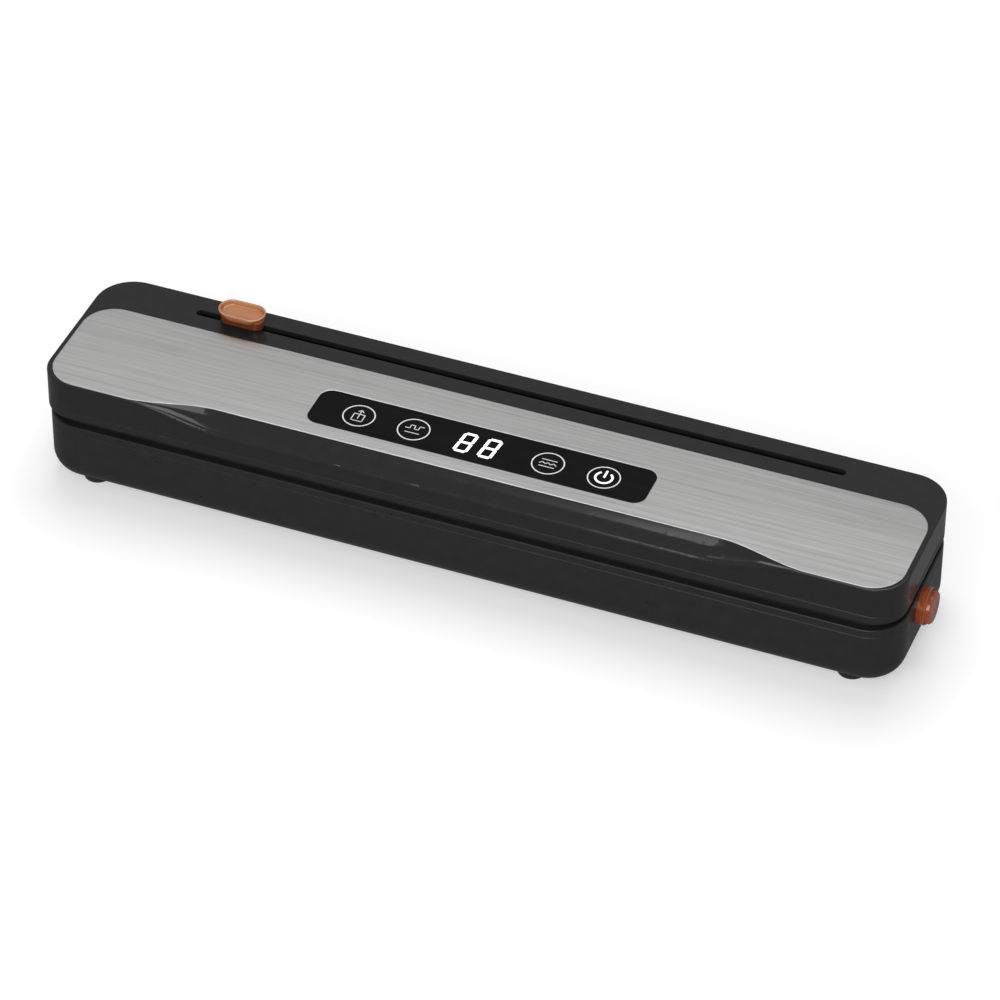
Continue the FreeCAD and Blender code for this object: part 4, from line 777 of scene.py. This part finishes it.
@dataclass(frozen=True)
class Studio:
    """Pale floor, soft lights and the product camera."""

    camera_place: tuple[float, float, float] = (0.59706, -1.52869, 1.38442)
    azimuth: float = math.radians(21.20)
    elevation: float = math.radians(39.80)
    roll: float = math.radians(0.39)
    lens: float = 183.63
    floor_radius: float = 12.0
    floor_colour: Colour = (0.6, 0.6, 0.6)
    floor_glow: float = 0.42
    sky: float = 0.42
    below: float = 0.20
    haze: tuple[float, float] = (-0.3, 0.1)
    sky_seen: float = 1.0

    def build(self) -> None:
        """Sets everything up."""
        self.lay_floor()
        self.light_world()
        self.hang("key_light", (-0.15, 0.6, 1.5), 1.1, 14.0)
        self.hang("fill_light", (0.2, -1.5, 1.0), 1.2, 17.0)
        self.set_camera()
        bpy.context.scene.view_settings.view_transform = "Standard"

    def lay_floor(self) -> None:
        """A wide matt disc under the feet."""
        bm = bmesh.new()
        bmesh.ops.create_circle(bm, cap_ends=True, segments=96, radius=self.floor_radius)
        mesh = bpy.data.meshes.new("floor")
        bm.to_mesh(mesh)
        bm.free()
        floor = bpy.data.objects.new("floor", mesh)
        bpy.context.scene.collection.objects.link(floor)
        bench = ShaderBench("floor_paper")
        paper = bench.grain(60.0, 3.0)
        bench.feed(bench.tint(paper, shade(self.floor_colour, 0.995), self.floor_colour), "Base Color")
        bench.fix({"Roughness": 0.9, "Specular IOR Level": 0.1, "Emission Color": (1, 1, 1, 1),
                   "Emission Strength": self.floor_glow})
        mesh.materials.append(bench.material)
        floor.visible_glossy = False

    def light_world(self) -> None:
        """An even grey sky, dimmer below the horizon, which looks pale behind the floor's edge."""
        world = bpy.data.worlds.new("studio")
        world.use_nodes = True
        bpy.context.scene.world = world
        tree = world.node_tree
        backdrop = tree.nodes["Background"]
        seen = tree.nodes.new("ShaderNodeLightPath")
        direction = tree.nodes.new("ShaderNodeTexCoord")
        split = tree.nodes.new("ShaderNodeSeparateXYZ")
        lighting = tree.nodes.new("ShaderNodeMapRange")
        for socket, value in (("From Min", self.haze[0]), ("From Max", self.haze[1]),
                              ("To Min", self.below), ("To Max", self.sky)):
            lighting.inputs[socket].default_value = value
        tree.links.new(direction.outputs["Generated"], split.inputs["Vector"])
        tree.links.new(split.outputs["Z"], lighting.inputs["Value"])
        level = tree.nodes.new("ShaderNodeMapRange")
        level.inputs["To Max"].default_value = self.sky_seen
        tree.links.new(lighting.outputs["Result"], level.inputs["To Min"])
        tree.links.new(seen.outputs["Is Camera Ray"], level.inputs["Value"])
        tree.links.new(level.outputs["Result"], backdrop.inputs["Strength"])
        backdrop.inputs["Color"].default_value = (1, 1, 1, 1)

    def hang(self, name: str, place: tuple[float, float, float], size: float, power: float) -> None:
        """Hangs a square softbox that faces the object.

        Args:
            name: The light's name.
            place: Where it hangs.
            size: Its side.
            power: Its power in watts.
        """
        light = bpy.data.lights.new(name, "AREA")
        light.shape = "SQUARE"
        light.size = size
        light.energy = power
        lamp = bpy.data.objects.new(name, light)
        bpy.context.scene.collection.objects.link(lamp)
        lamp.location = place
        lamp.rotation_mode = "QUATERNION"
        lamp.rotation_quaternion = (-Vector(place)).to_track_quat("-Z", "Y")

    def set_camera(self) -> None:
        """Places the camera by its azimuth, elevation and roll."""
        forward = Vector((-math.sin(self.azimuth) * math.cos(self.elevation),
                          math.cos(self.azimuth) * math.cos(self.elevation), -math.sin(self.elevation)))
        level_right = Vector((math.cos(self.azimuth), math.sin(self.azimuth), 0))
        level_up = level_right.cross(forward)
        right = level_right * math.cos(self.roll) + level_up * math.sin(self.roll)
        up = level_up * math.cos(self.roll) - level_right * math.sin(self.roll)
        data = bpy.data.cameras.new("product_camera")
        data.lens = self.lens
        data.sensor_width = 36.0
        camera = bpy.data.objects.new("product_camera", data)
        bpy.context.scene.collection.objects.link(camera)
        turn = Matrix((right, up, -forward)).transposed().to_4x4()
        camera.matrix_world = Matrix.Translation(self.camera_place) @ turn
        bpy.context.scene.camera = camera


@dataclass(frozen=True)
class SteelInlay:
    """The brushed plate in the lid, with a softened rim that catches the light."""

    rim: float = 0.14 * MM
    support: float = 0.25 * MM
    flat: float = math.radians(1)
    uv_map: str = "brush"

    def build(self) -> None:
        """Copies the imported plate, rounds its upper edges and lays its brushing direction."""
        work = Workpiece()
        bm = work.bm
        bm.from_mesh(frame["nodes"]["brushed_plate"].data)
        bmesh.ops.remove_doubles(bm, verts=bm.verts, dist=WELD)
        bmesh.ops.dissolve_limit(bm, angle_limit=self.flat, verts=bm.verts, edges=bm.edges)
        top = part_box("brushed_plate")[1].z
        rim = [e for e in bm.edges if all(abs(v.co.z - top) < WELD for v in e.verts)
               and len(e.link_faces) == 2 and e.calc_face_angle() > QUARTER / 2]
        bmesh.ops.bevel(bm, geom=rim, affect="EDGES", offset=self.rim, segments=3, profile=0.5, material=-1)
        face_up = [f for f in bm.faces if f.normal.z > 1 - WELD and f.calc_center_median().z > top - WELD]
        bmesh.ops.inset_region(bm, faces=face_up, thickness=self.support, use_even_offset=True)
        brush = bm.loops.layers.uv.new(self.uv_map)
        for face in bm.faces:
            for loop in face.loops:
                loop[brush].uv = loop.vert.co.xy
        work.finish("steel_inlay", Body.LID, STEEL, ["brushed_plate"])


@dataclass(frozen=True)
class TouchPanel:
    """The pane with its four ringed keys and the two lit digits."""

    ink_thick: float = 0.03 * MM
    ring_radius: float = 6.75 * MM
    ring_width: float = 0.55 * MM
    mark_width: float = 0.42 * MM
    power_width: float = 1.0 * MM
    power_radius: float = 3.55 * MM
    row_drop: float = 0.5 * MM
    digit_height: float = 13.0 * MM
    digit_width: float = 6.5 * MM
    digit_pitch: float = 10.7 * MM
    digit_lean: float = 0.1
    segment_width: float = 1.35 * MM
    segment_gap: float = 0.28 * MM
    corner: float = 5.5 * MM
    edge: float = 0.15 * MM

    @property
    def top(self) -> float:
        """Height of the pane's face."""
        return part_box("touch_panel")[1].z

    def build(self) -> None:
        """Makes the pane, the keys and the digits."""
        low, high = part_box("touch_panel")
        work = Workpiece()
        work.skin(Outline.of_box(low, high, self.corner, 16),
                  [Level(0, low.z), Level(0, high.z, self.edge), Level(-0.5 * MM, high.z)])
        work.finish("touch_pane", Body.LID, PANE, ["touch_panel"])
        marks = (self.bag_mark, self.pulse_mark, self.seal_mark, self.power_mark)
        for number, mark in enumerate(marks, 1):
            key = middle_of(f"touch_pad_{number}")
            centre = Vector((key.x, key.y - self.row_drop, self.top))
            self.print_piece(f"key_ring_{number}", [self.arc(self.ring_radius, self.ring_width)], centre,
                             KEY_INK)
            self.print_piece(f"key_mark_{number}", mark(), centre, POWER_INK if number == 4 else MARK_INK)
        display = middle_of("display_module")
        for number, side in enumerate((-0.5, 0.5), 1):
            centre = Vector((display.x + side * self.digit_pitch, display.y - self.row_drop, self.top))
            self.print_piece(f"digit_{number}", self.digit(), centre, DIGIT_INK)

    def print_piece(self, name: str, strokes: Sequence[Workpiece], centre: Vector, ink: Ink) -> None:
        """Joins strokes into one printed piece on the pane.

        Args:
            name: The piece's name.
            strokes: Its strokes, drawn round the origin.
            centre: Where it goes.
            ink: Its finish.
        """
        work = Workpiece()
        for stroke in strokes:
            work.take(stroke)
        work.move(Matrix.Translation(centre))
        work.finish(name, Body.LID, ink)

    def arc(self, radius: float, width: float, gap: float = 0.0) -> Workpiece:
        """A ring round the origin, open at the top by a gap.

        Args:
            radius: Radius of its middle line.
            width: Width of its line.
            gap: Angle left open.

        Returns:
            The stroke.
        """
        work = Workpiece()
        bm = work.bm
        corners = [(radius - width / 2, 0), (radius + width / 2, 0), (radius + width / 2, self.ink_thick),
                   (radius - width / 2, self.ink_thick)]
        face = bm.faces.new([bm.verts.new((x, 0, z)) for x, z in corners])
        geometry = list(face.verts) + list(face.edges)
        if gap:
            geometry.append(face)
        else:
            bmesh.ops.delete(bm, geom=[face], context="FACES_ONLY")
        bmesh.ops.spin(bm, geom=geometry, cent=(0, 0, 0), axis=(0, 0, 1), angle=FULL_TURN - gap, steps=64,
                       use_merge=not gap, use_duplicate=False)
        work.move(Matrix.Rotation(QUARTER + gap / 2, 4, "Z"))
        return work

    def stroke(self, start: tuple[float, float], end: tuple[float, float], width: float) -> Workpiece:
        """A straight line with round ends.

        Args:
            start: One end, in millimetres from the key's centre.
            end: The other end.
            width: Width of the line.

        Returns:
            The stroke.
        """
        first = Vector(start) * MM
        last = Vector(end) * MM
        run = last - first
        work = Workpiece()
        shape = Outline(run.length / 2 + width / 2, width / 2, width / 2, steps=4)
        work.skin(shape, [Level(0, 0), Level(0, self.ink_thick)])
        middle = (first + last) / 2
        work.move(Matrix.Translation((*middle, 0)) @ Matrix.Rotation(math.atan2(run.y, run.x), 4, "Z"))
        return work

    def path(self, points: Sequence[tuple[float, float]]) -> list[Workpiece]:
        """Joined thin lines through points in millimetres."""
        return [self.stroke(first, last, self.mark_width) for first, last in zip(points, points[1:])]

    def bag_mark(self) -> list[Workpiece]:
        """A bag with its seal line and an arrow for the air that leaves it."""
        bag = self.path([(-2.4, 1.0), (-2.4, -3.4), (2.4, -3.4), (2.4, 1.0), (-2.4, 1.0)])
        return bag + self.path([(0, -1.8), (0, 3.8)]) + self.path([(-1.1, 2.6), (0, 3.8), (1.1, 2.6)])

    def pulse_mark(self) -> list[Workpiece]:
        """A finger pulse: a stepped line with an arrow down to a bar."""
        wave = self.path([(-3.8, 0.4), (-1.9, 0.4), (-1.9, 2.6), (0, 2.6), (0, 0.4), (1.9, 0.4), (1.9, 2.6),
                          (3.8, 2.6)])
        return wave + self.path([(-3.0, -2.2), (3.0, -2.2)])

    def seal_mark(self) -> list[Workpiece]:
        """Two bars pressed on a wavy seam."""
        seam = self.path([(1.2 * step, 0.5 if step % 2 == 0 else -0.5) for step in range(-3, 4)])
        return seam + self.path([(-3.2, 2.2), (3.2, 2.2)]) + self.path([(-3.2, -2.2), (3.2, -2.2)])

    def power_mark(self) -> list[Workpiece]:
        """A standby sign: an open ring with a bar through its gap."""
        return [self.arc(self.power_radius, self.power_width, math.radians(70)),
                self.stroke((0, 0.4), (0, 4.2), self.power_width)]

    def digit(self) -> list[Workpiece]:
        """A leaning seven-segment eight."""
        half_w = (self.digit_width - self.segment_width) / 2
        half_h = (self.digit_height - self.segment_width) / 2
        lean = Matrix.Identity(4)
        lean[0][1] = self.digit_lean
        places = [((0, y), 0.0, 2 * half_w) for y in (-half_h, 0, half_h)]
        places += [((x, y), QUARTER, half_h) for x in (-half_w, half_w) for y in (-half_h / 2, half_h / 2)]
        segments = []
        for (x, y), turn, length in places:
            work = Workpiece()
            half = self.segment_width / 2
            shape = Outline(length / 2 + 0.1 * half - self.segment_gap, half, 0.75 * half, steps=4)
            work.skin(shape, [Level(0, 0), Level(0, self.ink_thick)])
            work.move(lean @ Matrix.Translation((x, y, 0)) @ Matrix.Rotation(turn, 4, "Z"))
            segments.append(work)
        return segments


@dataclass(frozen=True)
class CutterKnob:
    """The sliding knob: a dished, tapering flange on a stem whose tongue drops into the slot."""

    rim: float = 1.05 * MM
    flange: float = 2.9 * MM
    taper: float = 0.55 * MM
    end_taper: float = 1.5 * MM
    dish: float = 1.9 * MM
    stem_grow: float = -2.2 * MM
    stem_stretch: float = 1.5 * MM
    tongue_grow: float = -4.45 * MM
    tongue_stretch: float = 0.6 * MM
    run_gap: float = 0.3 * MM
    longer: float = 0.75 * MM
    soft: float = 0.2 * MM
    shoulder: float = 0.6 * MM
    broad: float = 0.5 * MM

    def build(self) -> None:
        """Skins the knob from its tongue up to the floor of its dish."""
        low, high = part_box("cutter_knob")
        lid_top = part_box("lid_cover")[1].z
        half = (high - low) / 2
        under = high.z - self.flange
        foot = lid_top + self.run_gap
        levels = [
            Level(self.tongue_grow, low.z, 0, self.tongue_stretch),
            Level(self.tongue_grow, foot, 0, self.tongue_stretch),
            Level(self.stem_grow, foot, self.soft, self.stem_stretch + self.longer),
            Level(self.stem_grow, under, 0, self.stem_stretch + self.longer),
            Level(-self.taper, under, self.soft, self.longer - self.end_taper),
            Level(0, high.z - self.shoulder, self.broad, self.longer),
            Level(-0.1 * MM, high.z, self.soft, self.longer),
            Level(-self.rim, high.z, self.soft, self.longer),
            Level(-self.rim - 0.45 * MM, high.z - self.dish, self.broad, self.longer),
            Level(-self.rim - 1.5 * MM, high.z - self.dish, 0, self.longer),
        ]
        work = Workpiece()
        work.skin(Outline.of_box(low, high, half.y, 16), levels)
        work.finish("cutter_knob_shell", Body.CUTTER, COPPER, ["cutter_knob"])


@dataclass(frozen=True)
class ReleaseButton:
    """One end's bezel and button."""

    end: End
    chamfer: float = 0.55 * MM
    cap_edge: float = 0.8 * MM
    cap_rim: float = 1.2 * MM
    dish: float = 0.25 * MM
    run_gap: float = 0.3 * MM
    step: float = 0.2 * MM
    waist: float = 0.25 * MM
    lip: float = 0.1 * MM
    steps: int = 64

    def build(self) -> None:
        """Turns both pieces and lays them along X."""
        outward = Vector((self.end.value, 0, 0))
        bezel = f"release_bezel_{self.end.word}"
        button = f"release_button_{self.end.word}"
        wall = turned_size("base_tub")[2]
        ring_r, sleeve_in, ring_out = turned_size(bezel)
        cap_r, cap_in, cap_out = turned_size(button)
        bore = cap_r + self.run_gap
        sleeve_r = ring_r - self.step
        waist_r = ring_r - self.waist
        centre = middle_of(button)
        turn = Matrix.Translation((0, centre.y, centre.z)) @ tilted(outward)
        ring = Workpiece()
        ring.lathe([(bore, sleeve_in), (sleeve_r, sleeve_in), (sleeve_r, wall), (ring_r, wall),
                    (ring_r, ring_out - 1.6 * MM), (waist_r, ring_out - 1.3 * MM),
                    (waist_r, ring_out - 1.0 * MM), (ring_r, ring_out - 0.8 * MM),
                    (ring_r - self.chamfer, ring_out), (bore + self.lip, ring_out),
                    (bore, ring_out - self.lip), (bore, sleeve_in)], self.steps)
        ring.move(turn)
        ring.finish(f"bezel_ring_{self.end.word}", Body.BASE, BUTTON_COPPER, [bezel], math.radians(25))
        cap = Workpiece()
        cap.lathe([(0, cap_in), (cap_r, cap_in), (cap_r, cap_out - self.cap_edge),
                   (cap_r - self.cap_edge, cap_out), (cap_r - self.cap_rim, cap_out),
                   (cap_r * 0.5, cap_out - self.dish * 0.8), (0, cap_out - self.dish)], self.steps)
        cap.move(turn)
        cap.finish(f"button_cap_{self.end.word}", self.end.body, BUTTON_COPPER, [button], math.radians(25))


@dataclass(frozen=True)
class SealingSet:
    """Gaskets, heater tape and pressure strip."""

    gasket_width: float = 5.0 * MM
    gasket_corner: float = 10.0 * MM
    gasket_round: float = 0.7 * MM
    tape_thick: float = 0.08 * MM
    rib: float = 0.5 * MM

    def build(self) -> None:
        """Makes all four pieces."""
        self.gasket("lower_gasket", "lower_gasket_ring", Body.BASE, 1)
        self.gasket("upper_gasket", "upper_gasket_ring", Body.LID, -1)
        self.tape()
        self.strip()

    def gasket(self, node: str, name: str, body: Body, side: int) -> None:
        """Skins a gasket round the chamber.

        Args:
            node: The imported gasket.
            name: The new piece's name.
            body: The body it rides on.
            side: 1 for a soft face on top, -1 for one underneath.
        """
        low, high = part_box(node)
        seat, face = (low.z, high.z) if side > 0 else (high.z, low.z)
        work = Workpiece()
        work.skin(Outline.of_box(low, high, self.gasket_corner, 12),
                  [Level(0, seat), Level(0, face, self.gasket_round),
                   Level(-self.gasket_width, face, self.gasket_round), Level(-self.gasket_width, seat)], True)
        work.finish(name, body, FOAM, [node])

    def tape(self) -> None:
        """Lays the release tape with the ribbon's ridge under its middle."""
        low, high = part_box("heater_tape")
        ribbon_low, ribbon_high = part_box("heater_ribbon")
        middle = (low.y + high.y) / 2
        half_ribbon = (ribbon_high.y - ribbon_low.y) / 2
        shoulder = high.z - self.tape_thick
        section = [(low.y, low.z), (low.y, shoulder - 0.04 * MM), (low.y + 0.3 * MM, shoulder),
                   (middle - half_ribbon - 0.4 * MM, shoulder), (middle - half_ribbon, high.z),
                   (middle + half_ribbon, high.z), (middle + half_ribbon + 0.4 * MM, shoulder),
                   (high.y - 0.3 * MM, shoulder), (high.y, shoulder - 0.04 * MM), (high.y, low.z),
                   (middle + half_ribbon, low.z), (middle + half_ribbon, ribbon_high.z + 0.01 * MM),
                   (middle - half_ribbon, ribbon_high.z + 0.01 * MM), (middle - half_ribbon, low.z)]
        extrude_along_x(section, low.x, high.x).finish("release_tape_strip", Body.BASE, TAPE, ["heater_tape"])

    def strip(self) -> None:
        """The pressure strip, with two shallow ribs along its face."""
        low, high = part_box("pressure_strip")
        middle = (low.y + high.y) / 2
        section = [(low.y, high.z), (low.y, low.z + 0.3 * MM), (low.y + 0.3 * MM, low.z + 0.05 * MM)]
        for offset in (-1.2 * MM, 1.2 * MM):
            section += [(middle + offset - self.rib, low.z + 0.12 * MM), (middle + offset, low.z),
                        (middle + offset + self.rib, low.z + 0.12 * MM)]
        section += [(high.y - 0.3 * MM, low.z + 0.05 * MM), (high.y, low.z + 0.3 * MM), (high.y, high.z)]
        extrude_along_x(section, low.x, high.x).finish("pressure_strip_ribbed", Body.LID, SILICONE,
                                                       ["pressure_strip"])


def extrude_along_x(section: Sequence[tuple[float, float]], start: float, stop: float) -> Workpiece:
    """A prism along X.

    Args:
        section: Its section as points of Y and Z.
        start: X of one end.
        stop: X of the other.

    Returns:
        The prism.
    """
    work = Workpiece()
    bm = work.bm
    face = bm.faces.new([bm.verts.new((start, y, z)) for y, z in section])
    made = bmesh.ops.extrude_face_region(bm, geom=[face], use_keep_orig=True)
    ahead = [v for v in made["geom"] if isinstance(v, bmesh.types.BMVert)]
    bmesh.ops.translate(bm, vec=(stop - start, 0, 0), verts=ahead)
    return work


@dataclass(frozen=True)
class Feet:
    """Four turned rubber feet with a grooved sole."""

    groove: float = 0.35 * MM
    sole_in: float = 2.3 * MM
    edge: float = 0.6 * MM
    plug: float = 2.4 * MM
    seat: float = 2.0 * MM

    def build(self) -> None:
        """Turns each foot in its place."""
        for row in ("front", "back"):
            for end in End:
                self.foot(f"foot_{row}_{end.word}")

    def foot(self, node: str) -> None:
        """Turns one foot.

        Args:
            node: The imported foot.
        """
        low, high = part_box(node)
        centre = middle_of(node)
        radius = (high.x - low.x) / 2
        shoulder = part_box("base_tub")[0].z + self.seat
        profile = [(0, low.z + self.groove), (radius - self.sole_in - 0.3 * MM, low.z + self.groove),
                   (radius - self.sole_in, low.z), (radius - self.edge, low.z),
                   (radius - 0.17 * MM, low.z + 0.18 * MM), (radius, low.z + self.edge), (radius, shoulder),
                   (self.plug, shoulder), (self.plug, high.z), (0, high.z)]
        work = Workpiece()
        work.lathe(profile, 40)
        work.move(Matrix.Translation((centre.x, centre.y, 0)))
        work.finish(node + "_pad", Body.BASE, RUBBER, [node])


@dataclass(frozen=True)
class ReleaseSpring:
    """The coil behind one end's latch slide."""

    end: End
    wire_radius: float = 0.35 * MM
    turns: int = 5
    steps_per_turn: int = 32
    wire_sides: int = 12

    def build(self) -> None:
        """Winds the coil between the casing's stop and the slide."""
        node = f"release_spring_{self.end.word}"
        radius, inner, outer = turned_size(node)
        steps = self.turns * self.steps_per_turn
        work = Workpiece()
        bm = work.bm
        bmesh.ops.create_circle(bm, cap_ends=True, segments=self.wire_sides, radius=self.wire_radius)
        stand = Matrix.Translation((radius - self.wire_radius, 0, 0)) @ Matrix.Rotation(QUARTER, 4, "X")
        work.move(stand)
        rise = (outer - inner - 2 * self.wire_radius) / steps
        bmesh.ops.spin(bm, geom=bm.verts[:] + bm.edges[:] + bm.faces[:], cent=(0, 0, 0), axis=(0, 0, 1),
                       dvec=(0, 0, rise), angle=FULL_TURN * self.turns, steps=steps, use_duplicate=False)
        centre = middle_of(node)
        side = self.end.value
        start = Vector((side * (inner + self.wire_radius), centre.y, centre.z))
        work.move(Matrix.Translation(start) @ tilted(Vector((side, 0, 0))))
        coil = work.close(f"coil_{self.end.word}", BRIGHT)
        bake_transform(coil)
        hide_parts(node)


def dress_packed_nodes() -> None:
    """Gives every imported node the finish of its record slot."""
    for part in frame["record"]["subparts"]:
        node = frame["nodes"][part["node"]]
        finish = FINISH_OF_SLOT[part["material_slot"]]
        for slot in node.material_slots:
            slot.material = finish.material()


def main() -> None:
    """Builds the studio and every sub-assembly in order."""
    logging.basicConfig(level=logging.INFO, format="%(name)s: %(message)s")
    Studio().build()
    dress_packed_nodes()
    SteelInlay().build()
    TouchPanel().build()
    CutterKnob().build()
    for end in End:
        ReleaseButton(end).build()
        ReleaseSpring(end).build()
    SealingSet().build()
    Feet().build()


if __name__ == "__main__":
    main()
